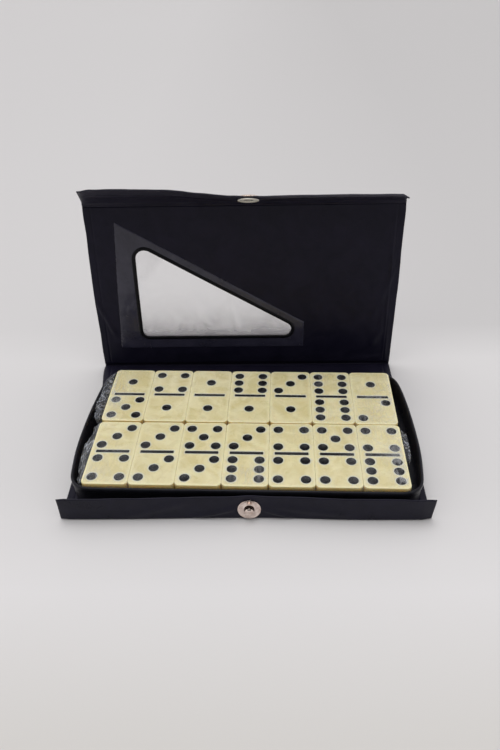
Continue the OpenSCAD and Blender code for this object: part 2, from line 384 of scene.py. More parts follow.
def triangulate(loops: Sequence[Array], loose: Array, holes: Sequence[Array]) -> tuple[Array, Faces]:
    """Triangles over loops and loose points, without those in the holes.

    Args:
        loops: closed loops whose edges are kept.
        loose: further points.
        holes: loops whose insides stay open.

    Returns:
        All points, loops first and in order, and the triangles.
    """
    edges: list[tuple[int, int]] = []
    first = 0
    for loop in loops:
        edges += [(first + i, first + (i + 1) % len(loop)) for i in range(len(loop))]
        first += len(loop)
    points = np.concatenate([*loops, loose])
    result = delaunay_2d_cdt([Vector(p) for p in points.tolist()], edges, [], 0, 1e-7)
    source = [o[0] for o in result[3]]
    faces = [[source[i] for i in f] for f in result[2]]
    middle = np.array([points[f].mean(axis=0) for f in faces])
    keep = np.ones(len(faces), bool)
    for hole in holes:
        keep &= ~inside(hole, middle)
    wound = []
    for k in np.nonzero(keep)[0]:
        a, b, c = points[faces[k]]
        turn = (b[0] - a[0]) * (c[1] - a[1]) - (b[1] - a[1]) * (c[0] - a[0])
        wound.append(faces[k] if turn > 0 else faces[k][::-1])
    return points, wound


class Nodes:
    """Shorthands for building a node tree."""

    def __init__(self, tree: bpy.types.NodeTree) -> None:
        """Takes the tree that the nodes go into."""
        self.tree = tree

    def feed(self, socket: bpy.types.NodeSocket, value: object) -> None:
        """Links or sets one socket."""
        if isinstance(value, bpy.types.NodeSocket):
            self.tree.links.new(value, socket)
        else:
            socket.default_value = value

    def add(self, kind: str, settings: Optional[dict[str, object]] = None,
            **values: object) -> bpy.types.Node:
        """Adds a node, by its full kind or a shader node's short one.

        Args:
            kind: the node's kind.
            settings: the node's own properties.
            values: sockets by name with _ for a space; a socket as a value makes a link.

        Returns:
            The node.
        """
        node = self.tree.nodes.new(kind if "Node" in kind else "ShaderNode" + kind)
        for key, value in (settings or {}).items():
            setattr(node, key, value)
        for key, value in values.items():
            self.feed(node.inputs[key.replace("_", " ")], value)
        return node

    def maths(self, operation: str, first: object, second: object = 0.0) -> bpy.types.NodeSocket:
        """The result of one Math node."""
        node = self.add("Math", {"operation": operation})
        self.feed(node.inputs[0], first)
        self.feed(node.inputs[1], second)
        return node.outputs[0]

    def span(self, value: object, low: float, high: float, start: float = 0.0,
             end: object = 1.0) -> bpy.types.NodeSocket:
        """Maps a value from one range to another.

        Args:
            value: the value.
            low: result at start.
            high: result at end.
            start: where the range starts.
            end: where it ends.

        Returns:
            The mapped value, clamped.
        """
        values = {"From_Min": start, "From_Max": end, "To_Min": low, "To_Max": high}
        return self.add("MapRange", None, Value=value, **values).outputs[0]


class Group(Nodes):
    """A node group under construction: its inputs, their identifiers and its end."""

    def __init__(self, name: str, kind: str, inputs: dict[str, str], output: tuple[str, str]) -> None:
        """Starts the group.

        Args:
            name: the group's name.
            kind: kind of the tree.
            inputs: kind of each input socket, by name.
            output: name and kind of the one output socket.
        """
        super().__init__(bpy.data.node_groups.new(name, kind))
        face = self.tree.interface
        self.ids: dict[str, str] = {}
        for title, socket in inputs.items():
            made = face.new_socket(title, in_out="INPUT", socket_type="NodeSocket" + socket)
            self.ids[title] = made.identifier
        face.new_socket(output[0], in_out="OUTPUT", socket_type="NodeSocket" + output[1])
        self.given = self.add("NodeGroupInput").outputs
        self.last = self.add("NodeGroupOutput").inputs[0]

    def close(self, result: bpy.types.NodeSocket) -> bpy.types.NodeTree:
        """Links the group's output and returns its tree."""
        self.feed(self.last, result)
        return self.tree


class GeometryGroup(Group):
    """A Geometry Nodes tree under construction, from geometry to geometry."""

    def __init__(self, name: str, inputs: dict[str, str]) -> None:
        """Starts the tree with its further inputs: the kind of each, by name."""
        super().__init__(name, "GeometryNodeTree", {"Geometry": "Geometry", **inputs},
                         ("Geometry", "Geometry"))

    def after(self, source: bpy.types.NodeSocket, kind: str, settings: Optional[dict[str, object]] = None,
              **values: object) -> bpy.types.NodeSocket:
        """Adds a node that takes source first, and returns its first result."""
        node = self.add("GeometryNode" + kind, settings, **values)
        self.feed(node.inputs[0], source)
        return node.outputs[0]

    def shape(self, title: str) -> bpy.types.NodeSocket:
        """The geometry of the object given for an input."""
        return self.add("GeometryNodeObjectInfo", None, Object=self.given[title]).outputs["Geometry"]

    def modify(self, target: bpy.types.Object, **values: object) -> None:
        """Runs the tree on an object, with its inputs by name and _ for a space."""
        modifier = target.modifiers.new(self.tree.name, "NODES")
        modifier.node_group = self.tree
        for key, value in values.items():
            modifier[self.ids[key.replace("_", " ")]] = value


class Shader(Nodes):
    """A material under construction, with its Principled shader."""

    def __init__(self, name: str, **constants: object) -> None:
        """Starts the material.

        Args:
            name: the material's name.
            constants: values for the Principled shader, by socket name with _ for a space.
        """
        self.material = bpy.data.materials.new(name)
        self.material.use_nodes = True
        super().__init__(self.material.node_tree)
        self.principled = self.tree.nodes["Principled BSDF"]
        self.set(**constants)

    def place(self, group: bpy.types.NodeTree, **values: object) -> bpy.types.NodeSocket:
        """Places a shared group with its own values and returns its result."""
        return self.add("ShaderNodeGroup", {"node_tree": group}, **values).outputs[0]

    def coords(self) -> bpy.types.NodeSocket:
        """The piece's own coordinates, in metres."""
        return self.add("TexCoord").outputs["Object"]

    def attribute(self, name: str) -> bpy.types.NodeSocket:
        """A number kept on the mesh."""
        return self.add("Attribute", {"attribute_name": name}).outputs["Fac"]

    def blend_colour(self, share: object, first: object, second: object) -> bpy.types.NodeSocket:
        """First colour at share 0, second at share 1."""
        node = self.add("Mix", {"data_type": "RGBA"})
        self.feed(node.inputs[0], share)
        self.feed(node.inputs[6], first)
        self.feed(node.inputs[7], second)
        return node.outputs[2]

    def set(self, **values: object) -> None:
        """Feeds the Principled shader."""
        for key, value in values.items():
            self.feed(self.principled.inputs[key.replace("_", " ")], value)

    def relief(self, height: bpy.types.NodeSocket, depth: float) -> bpy.types.NodeSocket:
        """A Bump node's normal from a height between 0 and 1 and its depth in metres."""
        return self.add("Bump", None, Height=height, Distance=depth, Strength=1.0).outputs["Normal"]


class SharedEffects:
    """Node groups that several finishes use."""

    @staticmethod
    def skin() -> bpy.types.NodeTree:
        """Fine pressed grain over slow waves, as a height from 0 to 1."""
        g = Group("Pressed skin", "ShaderNodeTree",
                  {"Vector": "Vector", "Grain per metre": "Float", "Waves per metre": "Float",
                   "Grain share": "Float"}, ("Height", "Float"))
        place = g.given["Vector"]
        grain = g.add("TexVoronoi", {"feature": "SMOOTH_F1"}, Vector=place,
                      Scale=g.given["Grain per metre"])
        wave = g.add("TexNoise", None, Vector=place, Scale=g.given["Waves per metre"], Detail=2.0)
        mix = g.add("Mix", None, Factor=g.given["Grain share"], A=wave.outputs[0], B=grain.outputs[0])
        return g.close(mix.outputs[0])

    @staticmethod
    def handling() -> bpy.types.NodeTree:
        """Smudges and wiped patches from handling, as a mask from 0 to 1."""
        g = Group("Handling marks", "ShaderNodeTree",
                  {"Vector": "Vector", "Patches per metre": "Float", "Amount": "Float"}, ("Mask", "Float"))
        wide = g.add("TexNoise", None, Vector=g.given["Vector"], Scale=g.given["Patches per metre"],
                     Detail=5.0, Roughness=0.62, Distortion=0.6)
        patches = g.span(wide.outputs[0], 0, 1, 0.36, 0.68)
        return g.close(g.maths("MULTIPLY", patches, g.given["Amount"]))

    @staticmethod
    def streaks() -> bpy.types.NodeTree:
        """Thin bright pull lines in a stretched film, painted in as highlight lines, as a mask from 0 to 1.
        """
        g = Group("Film streaks", "ShaderNodeTree",
                  {"Vector": "Vector", "Streaks per metre": "Float", "Sharpness": "Float"},
                  ("Mask", "Float"))
        noise = g.add("TexNoise", None, Vector=g.given["Vector"], Scale=g.given["Streaks per metre"],
                      Detail=3.0, Distortion=1.4)
        size = g.maths("ABSOLUTE", g.maths("SUBTRACT", noise.outputs[0], 0.5))
        return g.close(g.span(size, 1, 0, 0, g.given["Sharpness"]))


@dataclass(frozen=True)
class VinylFinish:
    """Soft black vinyl: faint grain, slow waves, a broken sheen, paler dust and smudge patches, and painted
    light where the mesh marks it.
    """

    name: str
    colour: Colour
    bloom: Colour
    # Colour of the painted light: lighter vinyl where the mesh marks a face as lit.
    raised: Colour = srgb(74, 73, 84)
    gloss: float = 0.34
    shine: float = 0.22
    depth: float = 0.00012
    waves: float = 45.0
    grain: float = 1500.0
    grain_share: float = 0.25

    def build(self, skin: bpy.types.NodeTree, marks: bpy.types.NodeTree) -> bpy.types.Material:
        """The material, from the shared skin and handling groups."""
        s = Shader(self.name, Specular_IOR_Level=self.shine)
        place = s.coords()
        mask = s.place(marks, Vector=place, Patches_per_metre=70.0, Amount=1.0)
        colour = s.blend_colour(mask, self.colour, self.bloom)
        # Painted light: lighter vinyl where the mesh's own mask marks the face as lit.
        s.set(Base_Color=s.blend_colour(s.attribute("tone"), colour, self.raised))
        s.set(Roughness=s.span(mask, self.gloss - 0.07, self.gloss + 0.12))
        height = s.place(skin, Vector=place, Grain_per_metre=self.grain, Waves_per_metre=self.waves,
                         Grain_share=self.grain_share)
        s.set(Normal=s.relief(height, self.depth))
        return s.material


@dataclass(frozen=True)
class IvoryFinish:
    """Cast cream plastic: marbled, with a painted highlight on the rounded edges and painted warm amber
    light low on the sides.
    """

    name: str = "ivory_plastic"
    light: Colour = srgb(228, 219, 176)
    body: Colour = srgb(215, 203, 152)
    amber: Colour = srgb(211, 196, 142)
    halo: Colour = srgb(212, 210, 190)
    # Painted warm light low on the sides, standing in for light passing through the plastic into the shaded
    # seams.
    low: Colour = srgb(238, 210, 128)
    # Painted highlight on the rounded top edges.
    edge: Colour = srgb(230, 221, 178)

    def build(self, marks: bpy.types.NodeTree) -> bpy.types.Material:
        """The material; it reads the tile's own seed, halo, painted edge highlight and depth, which sets the
        painted warm light low on the sides.
        """
        s = Shader(self.name, Specular_IOR_Level=0.45, Coat_Weight=0.25, Coat_Roughness=0.12,
                   Subsurface_Weight=0.3, Subsurface_Radius=(1.0, 0.75, 0.4), Subsurface_Scale=0.0025)
        shift = s.add("CombineXYZ", None, X=s.attribute("tile_seed"), Y=s.attribute("tile_seed"))
        moved = s.add("VectorMath", {"operation": "ADD"})
        s.feed(moved.inputs[0], s.coords())
        s.feed(moved.inputs[1], shift.outputs[0])
        swirl = s.add("TexNoise", None, Vector=moved.outputs[0], Scale=42.0, Detail=2.5, Roughness=0.45,
                      Distortion=2.2)
        vein = s.add("TexNoise", None, Vector=moved.outputs[0], Scale=95.0, Detail=2.0, Distortion=3.0)
        colour = s.blend_colour(s.span(swirl.outputs[0], 0, 1, 0.38, 0.66), self.body, self.light)
        colour = s.blend_colour(s.span(vein.outputs[0], 0, 0.5, 0.55, 0.8), colour, self.amber)
        colour = s.blend_colour(s.attribute("halo"), colour, self.halo)
        # Painted highlight: paler where the mesh marks the rounded top edges.
        colour = s.blend_colour(s.attribute("rounding"), colour, self.edge)
        # Painted light: warmer, brighter amber low on the sides, where the seams between tiles lie in shade.
        colour = s.blend_colour(s.attribute("depth"), colour, self.low)
        s.set(Base_Color=colour)
        mask = s.place(marks, Vector=moved.outputs[0], Patches_per_metre=120.0, Amount=1.0)
        s.set(Roughness=s.span(mask, 0.2, 0.42))
        ripple = s.add("TexNoise", None, Vector=moved.outputs[0], Scale=90.0, Detail=1.0)
        s.set(Normal=s.relief(ripple.outputs[0], 0.00008))
        return s.material


@dataclass(frozen=True)
class PaintFinish:
    """Black enamel in the pips and bars, painted greyer in patches where the film over it catches the light.
    """

    name: str = "pip_paint"
    colour: Colour = srgb(9, 9, 12)
    # Painted sheen of the film over the enamel: a greyer black.
    film_sheen: Colour = srgb(24, 24, 28)

    def build(self, marks: bpy.types.NodeTree) -> bpy.types.Material:
        """The material."""
        s = Shader(self.name, Specular_IOR_Level=0.22)
        place = s.coords()
        mask = s.place(marks, Vector=place, Patches_per_metre=160.0, Amount=1.0)
        # Painted sheen: greyer patches where the film over the enamel catches the light.
        s.set(Base_Color=s.blend_colour(mask, self.colour, self.film_sheen))
        s.set(Roughness=s.span(mask, 0.22, 0.5))
        ripple = s.add("TexNoise", None, Vector=place, Scale=900.0, Detail=2.0)
        s.set(Normal=s.relief(ripple.outputs[0], 0.00006))
        return s.material


@dataclass(frozen=True)
class MetalFinish:
    """Plated metal with soft handling marks, a darker tint in the marks, and painted shade where the mesh
    marks its narrow neck.
    """

    name: str
    colour: Colour
    dull: Colour
    gloss: float = 0.07
    metal: float = 1.0

    def build(self, marks: bpy.types.NodeTree) -> bpy.types.Material:
        """The material."""
        s = Shader(self.name, Metallic=self.metal)
        place = s.coords()
        mask = s.place(marks, Vector=place, Patches_per_metre=380.0, Amount=1.0)
        colour = s.blend_colour(mask, self.colour, self.dull)
        # Painted shade: dark brown where the mesh marks the narrow neck.
        s.set(Base_Color=s.blend_colour(s.attribute("soot"), colour, srgb(52, 40, 36)))
        s.set(Roughness=s.span(mask, self.gloss, self.gloss + 0.1))
        ripple = s.add("TexNoise", None, Vector=place, Scale=700.0, Detail=3.0)
        s.set(Normal=s.relief(ripple.outputs[0], 0.00002))
        return s.material


@dataclass(frozen=True)
class FilmFinish:
    """Clear film: almost nothing where it lies flat, milky where it is creased; the milky whites stand
    partly for the film's whitening and partly for painted highlights and sheen.
    """

    name: str
    colour: Colour
    clear: float
    milky: float
    streaks_per_metre: float
    gloss: float = 0.12
    sharpness: float = 0.05
    stretch: tuple[float, float, float] = (1.0, 1.0, 1.0)
    depth: float = 0.0004
    between: float = 0.2
    turn: float = 0.5

    def build(self, streaks: bpy.types.NodeTree) -> bpy.types.Material:
        """The material; it reads the film's own crease mask and a mask of milkiness that is partly painted
        glare.
        """
        s = Shader(self.name, Specular_IOR_Level=0.9, Base_Color=self.colour, Roughness=self.gloss)
        turn = s.add("Mapping", None, Vector=s.coords(), Scale=self.stretch,
                     Rotation=(0.0, 0.0, self.turn))
        mask = s.place(streaks, Vector=turn.outputs[0], Streaks_per_metre=self.streaks_per_metre,
                       Sharpness=self.sharpness)
        crease = s.attribute("crease")
        share = s.maths("MULTIPLY", s.span(mask, self.between, 1.0), crease)
        # Alpha: milky where creased, plus a share that is partly painted glare.
        s.set(Alpha=s.maths("ADD", s.span(share, self.clear, self.milky), s.attribute("haze")))
        s.set(Normal=s.relief(s.maths("MULTIPLY", mask, crease), self.depth))
        return s.material


@dataclass(frozen=True)
class BoardFinish:
    """Grey stiffening board with a fibrous face."""

    name: str = "grey_board"

    def build(self, marks: bpy.types.NodeTree) -> bpy.types.Material:
        """The material."""
        s = Shader(self.name, Specular_IOR_Level=0.3)
        place = s.coords()
        mask = s.place(marks, Vector=place, Patches_per_metre=500.0, Amount=1.0)
        s.set(Base_Color=s.blend_colour(mask, srgb(125, 120, 109), srgb(150, 144, 130)))
        s.set(Roughness=s.span(mask, 0.75, 0.95))
        return s.material


class Finish(Enum):
    """The finishes that pieces are dressed in."""

    COVER = "black_vinyl"
    LINING = "lining_vinyl"
    TRAY = "tray_plastic"
    BEAD = "weld_bead"
    FLANGE = "film_on_vinyl"
    PANE = "window_pane"
    WRAP = "shrink_film"
    TAIL = "film_tail"
    STRAND = "film_strands"
    IVORY = "ivory_plastic"
    PAINT = "pip_paint"
    NICKEL = "nickel"
    BRASS = "socket_brass"
    WIRE = "spring_wire"
    SATIN = "socket_nickel"
    BOARD = "grey_board"


class Wardrobe:
    """Every finish of the case, built once."""

    def __init__(self) -> None:
        """Builds the shared groups and all materials."""
        skin, marks, streaks = SharedEffects.skin(), SharedEffects.handling(), SharedEffects.streaks()
        self.materials: dict[Finish, bpy.types.Material] = {
            Finish.COVER: VinylFinish("black_vinyl", srgb(20, 19, 32), srgb(29, 28, 42),
                                      shine=0.16).build(skin, marks),
            Finish.LINING: VinylFinish("lining_vinyl", srgb(22, 21, 35), srgb(29, 27, 42), gloss=0.38,
                                       shine=0.13, waves=30.0).build(skin, marks),
            Finish.TRAY: VinylFinish("tray_plastic", srgb(25, 25, 31), srgb(34, 34, 41), shine=0.15,
                                     depth=0.00008, waves=60.0, grain_share=0.05).build(skin, marks),
            Finish.BEAD: VinylFinish("weld_bead", srgb(9, 9, 14), srgb(14, 14, 20), shine=0.14,
                                     depth=0.00008, waves=120.0, grain_share=0.05).build(skin, marks),
            Finish.FLANGE: VinylFinish("film_on_vinyl", srgb(52, 51, 66), srgb(38, 37, 51), gloss=0.2,
                                       shine=0.45, depth=0.0003, waves=120.0,
                                       grain_share=0.02).build(skin, marks),
            Finish.PANE: FilmFinish("window_pane", srgb(186, 183, 190), 0.02, 0.8, 55.0, gloss=0.22,
                                    sharpness=0.35, between=0.45, depth=0.0002).build(streaks),
            Finish.WRAP: FilmFinish("shrink_film", srgb(228, 229, 232), 0.003, 0.5, 200.0, sharpness=0.1,
                                    stretch=(1.0, 0.35, 1.0), between=0.04).build(streaks),
            Finish.TAIL: FilmFinish("film_tail", srgb(205, 210, 222), 0.02, 0.9, 330.0, sharpness=0.035,
                                    stretch=(1.0, 0.6, 0.6), between=0.03, depth=0.0002).build(streaks),
            Finish.STRAND: FilmFinish("film_strands", srgb(205, 209, 217), 0.05, 0.95, 420.0,
                                      sharpness=0.035, stretch=(1.0, 0.1, 0.5), between=0.03,
                                      depth=0.0002, turn=-0.12).build(streaks),
            Finish.IVORY: IvoryFinish().build(marks),
            Finish.PAINT: PaintFinish().build(marks),
            Finish.NICKEL: MetalFinish("nickel", srgb(236, 221, 212), srgb(190, 168, 156)).build(marks),
            Finish.BRASS: MetalFinish("socket_brass", srgb(150, 96, 78), srgb(96, 52, 44),
                                      gloss=0.3).build(marks),
            # Painted brightness: the socket's nickel is whiter and less metallic than the rest, standing in
            # for its bright reflection.
            Finish.SATIN: MetalFinish("socket_nickel", srgb(255, 253, 248), srgb(244, 236, 226), gloss=0.3,
                                      metal=0.35).build(marks),
            Finish.WIRE: MetalFinish("spring_wire", srgb(190, 186, 182), srgb(140, 136, 132),
                                     gloss=0.3).build(marks),
            Finish.BOARD: BoardFinish().build(marks),
        }

    def __getitem__(self, finish: Finish) -> bpy.types.Material:
        """The material of one finish."""
        return self.materials[finish]


@dataclass(frozen=True)
class CaseProfile:
    """The line through the sheets' folds, from the flap's tip to the lip's, and every panel's frame."""

    width: float = 190.5
    flap: float = 15.25
    base: float = 110.0
    spine: float = 22.0
    lid: float = 112.5
    lip: float = 21.4
    line: float = 0.25
    lid_angle: float = 85.0
    lip_angle: float = 156.0
    bends: tuple[float, float, float, float] = (0.9, 1.2, 1.3, 4.6)

    @property
    def folds(self) -> tuple[float, float, float, float]:
        """Where the folds are along the line: flap, spine, lid and lip."""
        a = self.base
        return (0.0, a, a + self.spine, a + self.spine + self.lid)

    @property
    def headings(self) -> tuple[float, float, float, float, float]:
        """Direction of flap, base, spine, lid and lip, in degrees from level towards the back."""
        return (-90.0, 0.0, 0.0, self.lid_angle, self.lip_angle)

    def corners(self) -> list[Array]:
        """The folds' places (y, z)."""
        places = [np.array([-self.base / 2, self.line])]
        folds = self.folds
        for k in range(1, 4):
            a = math.radians(self.headings[k])
            step = folds[k] - folds[k - 1]
            places.append(places[-1] + step * np.array([math.cos(a), math.sin(a)]))
        return places

    def run(self, s: Array) -> tuple[Array, Array]:
        """Place and inward normal on the line.

        Args:
            s: distance along the line from the flap's fold, in millimetres.

        Returns:
            Two arrays of (y, z), the place and the inward normal.
        """
        corners, folds, headings = self.corners(), self.folds, self.headings
        place = np.zeros((len(s), 2))
        normal = np.zeros((len(s), 2))
        for k in range(5):
            low = -FAR if k == 0 else folds[k - 1]
            high = FAR if k == 4 else folds[k]
            here = (s >= low) & (s < high)
            a = math.radians(headings[k])
            way = np.array([math.cos(a), math.sin(a)])
            anchor, at = (corners[0], 0.0) if k == 0 else (corners[k - 1], folds[k - 1])
            place[here] = anchor + (s[here] - at)[:, None] * way
            normal[here] = [-way[1], way[0]]
        for k, radius in enumerate(self.bends):
            turn = math.radians(headings[k + 1] - headings[k])
            reach = radius * math.tan(turn / 2)
            if reach <= 0:
                continue
            here = np.abs(s - folds[k]) < reach
            a = math.radians(headings[k])
            way = np.array([math.cos(a), math.sin(a)])
            side = np.array([-math.sin(a), math.cos(a)])
            centre = corners[k] - reach * way + radius * side
            t = (s[here] - folds[k] + reach) / (2 * reach) * turn
            inward = np.column_stack([np.cos(t) * side[0] - np.sin(t) * side[1],
                                      np.sin(t) * side[0] + np.cos(t) * side[1]])
            normal[here] = inward
            place[here] = centre - radius * inward
        return place, normal

    def at(self, x: Array, s: Array, height: Array) -> Array:
        """Points at a height above the outer face, at x across and s along the line."""
        place, normal = self.run(np.asarray(s, float))
        y_z = place + normal * (np.asarray(height) - self.line)[:, None]
        return np.column_stack([x, y_z])

    def point(self, s: float) -> Point:
        """A place on the line in metres."""
        place, _ = self.run(np.array([s]))
        return (0.0, float(place[0, 0]) * MM, float(place[0, 1]) * MM)

    def lid_frame(self) -> Matrix:
        """The lid's own frame: flat, hinged at y 0, outer face at z 0."""
        return self._frame(2, self.lid_angle)

    def lip_frame(self) -> Matrix:
        """The lip's own frame."""
        return self._frame(3, self.lip_angle)

    def flap_frame(self) -> Matrix:
        """The flap's own frame, x to the left."""
        y, z = self.corners()[0]
        turn = turned(180, "Z") @ turned(90, "X")
        return Matrix.Translation((0, y, z)) @ turn @ Matrix.Translation((0, 0, -self.line))

    def _frame(self, corner: int, heading: float) -> Matrix:
        """A panel's frame from its fold and heading."""
        y, z = self.corners()[corner]
        hinge = Matrix.Translation((0, y, z)) @ turned(heading, "X")
        return hinge @ Matrix.Translation((0, 0, -self.line))


def carry(frame: Matrix, points: Array) -> Array:
    """Points moved by a frame given in millimetres."""
    m = np.array(frame)
    return points @ m[:3, :3].T + m[:3, 3]


@dataclass(frozen=True)
class Window:
    """The lid's opening: a right triangle with rounded corners, in the lid's own plane."""

    left: float = -66.6
    low: float = 23.7
    width: float = 108.0
    height: float = 63.4
    radii: tuple[float, float, float] = (3.8, 4.5, 5.6)
    bead: float = 2.3
    film_left: float = 15.5
    film_lean: float = 4.7
    film_below: float = 8.7
    film_over: float = 7.3
    film_cut: float = 3.8
    film_rise: float = 0.4

    def outline(self, grow: float, spacing: float = 1.2) -> Array:
        """The opening's outline, counter-clockwise.

        Args:
            grow: how far outside the opening it runs.
            spacing: distance between points on the straight sides.

        Returns:
            The points, in the lid's plane.
        """
        tip = math.atan(self.height / self.width)
        top = math.pi / 2 - tip
        near, far, high = self.radii
        centres = [
            (self.left + near, self.low + near, near, 180.0, 270.0),
            (self.left + self.width - far / math.tan(tip / 2), self.low + far, far,
             270.0, 360 + math.degrees(top)),
            (self.left + high, self.low + self.height - high / math.tan(top / 2), high,
             math.degrees(top), 180.0),
        ]
        places: Loop = []
        for k, (cx, cy, r, start, end) in enumerate(centres):
            for i in range(11):
                a = math.radians(start + (end - start) * i / 10)
                places.append((cx + (r + grow) * math.cos(a), cy + (r + grow) * math.sin(a)))
            nx, ny, nr, nstart, _ = centres[(k + 1) % 3]
            a = math.radians(nstart)
            nxt = (nx + (nr + grow) * math.cos(a), ny + (nr + grow) * math.sin(a))
            places += between(places[-1], nxt, max(1, round(math.dist(places[-1], nxt) / spacing)), 1)
        return np.array(places)

    def slope(self, x: float) -> float:
        """Height of the sloping edge's line at x."""
        return self.low + self.height * (1 - (x - self.left) / self.width)

    def film_outline(self, spacing: float = 1.4) -> Array:
        """The film's cut: a triangle with its sharp end cut off."""
        left, right = self.left - self.film_left, self.left + self.width - self.film_cut
        low = self.low - self.film_below
        top_x = left + self.film_lean
        corners = [(left, low), (right, low), (right, self.slope(right) + self.film_over),
                   (top_x, self.slope(top_x) + self.film_over + self.film_rise)]
        places: Loop = []
        for a, b in zip(corners, corners[1:] + corners[:1]):
            places += between(a, b, max(1, round(math.dist(a, b) / spacing)))
        return np.array(places)


@dataclass
class Sheets:
    """The two vinyl sheets with the boards between them, in four lengths that bend at the folds."""

    profile: CaseProfile
    window: Window
    wardrobe: Wardrobe
    weld_in: float = 4.6
    board_height: float = 1.92
    skin_height: float = 0.9
    edge_round: float = 0.9
    stretch: float = 0.006
    narrow: float = 0.0075
    taper: float = 0.03
    inner_dent: float = 1.97
    outer_dent: float = 1.09
    closest: float = 0.14
    close_by: tuple[float, ...] = (0.2, 0.4, 0.65, 0.95, 1.3, 1.7, 2.2)
    wave: Wander = field(default_factory=lambda: Wander(3, 26.0))
    ripple: Wander = field(default_factory=lambda: Wander(5, 7.0, 1.6))
    pleats: tuple[Pleat, ...] = (
        Pleat((-94.0, 49.0), (-85.0, 25.0), 1.5, 0.55),
        Pleat((-91.0, 44.0), (-86.5, 20.0), 1.1, -0.08),
        Pleat((89.2, 107.0), (90.2, 70.0), 1.4, 0.35),
        Pleat((90.4, 76.0), (89.6, 40.0), 1.2, 0.42),
        Pleat((89.8, 46.0), (91.4, 6.0), 1.5, 0.4),
        Pleat((92.5, 70.0), (86.0, 48.0), 1.3, 0.3),
        Pleat((86.4, 52.0), (87.6, 24.0), 1.2, 0.22),
        Pleat((89.0, 62.0), (81.0, 36.0), 1.7, 0.4),
        Pleat((88.0, 28.0), (81.0, 15.0), 1.5, 0.36),
        Pleat((-90.0, 20.0), (-52.0, 12.5), 2.4, 0.22),
        Pleat((-70.0, 9.0), (-20.0, 11.0), 2.6, 0.14),
        Pleat((72.0, 4.2), (87.0, 6.6), 1.1, 0.3),
        Pleat((-20.0, 7.0), (60.0, 8.5), 2.4, 0.12),
    )
    pulls: tuple[Pleat, ...] = (
        Pleat((3.0, 9.0), (26.0, 0.5), 1.2, -1.0),
        Pleat((1.0, 9.0), (-28.0, 0.5), 1.2, -1.0),
        Pleat((8.0, 9.0), (52.0, 3.5), 1.8, -0.45),
        Pleat((-30.0, 12.0), (-62.0, 2.0), 2.2, -0.4),
    )

    def lines(self, low: float, high: float, step: float, fine: Sequence[float]) -> Array:
        """Sampling lines, closer together near some places.

        Args:
            low: first line.
            high: last line.
            step: distance between lines elsewhere.
            fine: places where they stand closer.

        Returns:
            The lines' places, in order.
        """
        values = [*np.arange(low, high, step), low, high]
        for f in fine:
            values += [f, *(f - d for d in self.close_by), *(f + d for d in self.close_by)]
        values = sorted(v for v in values if low <= v <= high)
        kept = [values[0]]
        for v in values[1:]:
            if v - kept[-1] > self.closest:
                kept.append(v)
        kept[-1] = high
        return np.array(kept)

    def up(self, s: Array) -> Array:
        """Share of the way up the lip, 0 below its fold."""
        return np.clip((s - self.profile.folds[3]) / self.profile.lip, 0, 1)

    def edge(self, x: Array) -> Array:
        """Distance from the nearer side edge."""
        return self.profile.width / 2 - np.abs(x)

    def off_snap(self, x: Array, s: Array) -> Array:
        """Distance from the snap's middle on the lip."""
        return np.hypot(x - SNAP_X, s - self.profile.folds[3] - SNAP_UP)

    def dent(self, x: Array, s: Array) -> Array:
        """1 where the lip gives way to the stud's head inside the snap, 0 elsewhere."""
        return np.exp(-((self.off_snap(x, s) / 3.1) ** 8))

    def inner(self, x: Array, s: Array) -> Array:
        """Height of the lining's face above the outer face."""
        f = self.profile.folds
        edge = self.edge(x)
        board = np.zeros_like(x)
        for low, high in zip(f, f[1:]):
            here = smooth(s, low + 1.6, low + 2.9) * (1 - smooth(s, high - 2.9, high - 1.6))
            board = np.maximum(board, here)
        slack = (0.72 + 0.26 * smooth(x, 4, 40)) * smooth(s, f[3] - 6, f[3] - 1.6)
        slack *= (1 - smooth(s, f[3], f[3] + 9)) * (1 - board)
        height = self.skin_height + (self.board_height - self.skin_height) * board + slack
        height -= (0.19 + 0.07 * smooth(x, -20, 20)) * board * hump(edge, self.weld_in, 0.55)
        on_lid = smooth(s, f[2] + 3, f[2] + 8) * (1 - smooth(s, f[3] - 6, f[3] - 3))
        height += on_lid * (0.12 * self.wave(x, s) + 0.05 * self.ripple(x, s) * (1 - smooth(edge, 5, 16)))
        held = on_lid * smooth(edge, 0.2, 2.0) * (0.75 + 0.5 * self.ripple(x * 0.6, s * 0.6))
        for pleat in self.pleats:
            height += 1.8 * pleat(x, s - f[2]) * held
        weld = f[3] + 13.0 - 6.5 * hump(x, SNAP_X, 26)
        height -= 0.34 * hump(s, weld, 1.1) * smooth(edge, 1.5, 4.0) * (1 - hump(x, SNAP_X, 9))
        return height - self.inner_dent * self.dent(x, s)

    def outer(self, x: Array, s: Array) -> Array:
        """Height of the outer sheet's face: flat under the base, softly waved elsewhere."""
        f = self.profile.folds
        edge = self.edge(x)
        high = smooth(s, f[2] + 4, f[2] + 12) * (1 - smooth(s, f[3] - 6, f[3] - 2))
        weld = 0.2 * hump(edge, self.weld_in, 0.6)
        ends = (f[0] + 2.6, f[1] - 2.6, f[1] + 2.6, f[2] - 2.6, f[2] + 2.6, f[3] - 2.6)
        across = sum(hump(s, end, 0.7) for end in ends)
        boards = (s > f[0] + 2) & (s < f[3] - 2)
        raised = boards * (weld + 0.2 * across * smooth(edge, 2, 4))
        raised += high * 0.1 * (1 + self.wave(x + 90, s))
        return raised - self.outer_dent * self.dent(x, s)

    def across(self, x: Array, s: Array) -> Array:
        """Where a place x of the sheets really is: slipped left behind the tray, drawn in at the lip."""
        f = self.profile.folds
        wide = 1 + self.stretch * smooth(s, f[1], f[1] + 30) - self.narrow * smooth(s, f[2] + 50, f[3])
        wide -= 0.006 * hump(s, f[1] - 3, 14)
        slip = 0.35 * smooth(s, f[2] + 40, f[3]) - 1.3 * smooth(s, f[1] - 14, f[1] + 20)
        return x * (wide - self.taper * self.up(s)) + slip

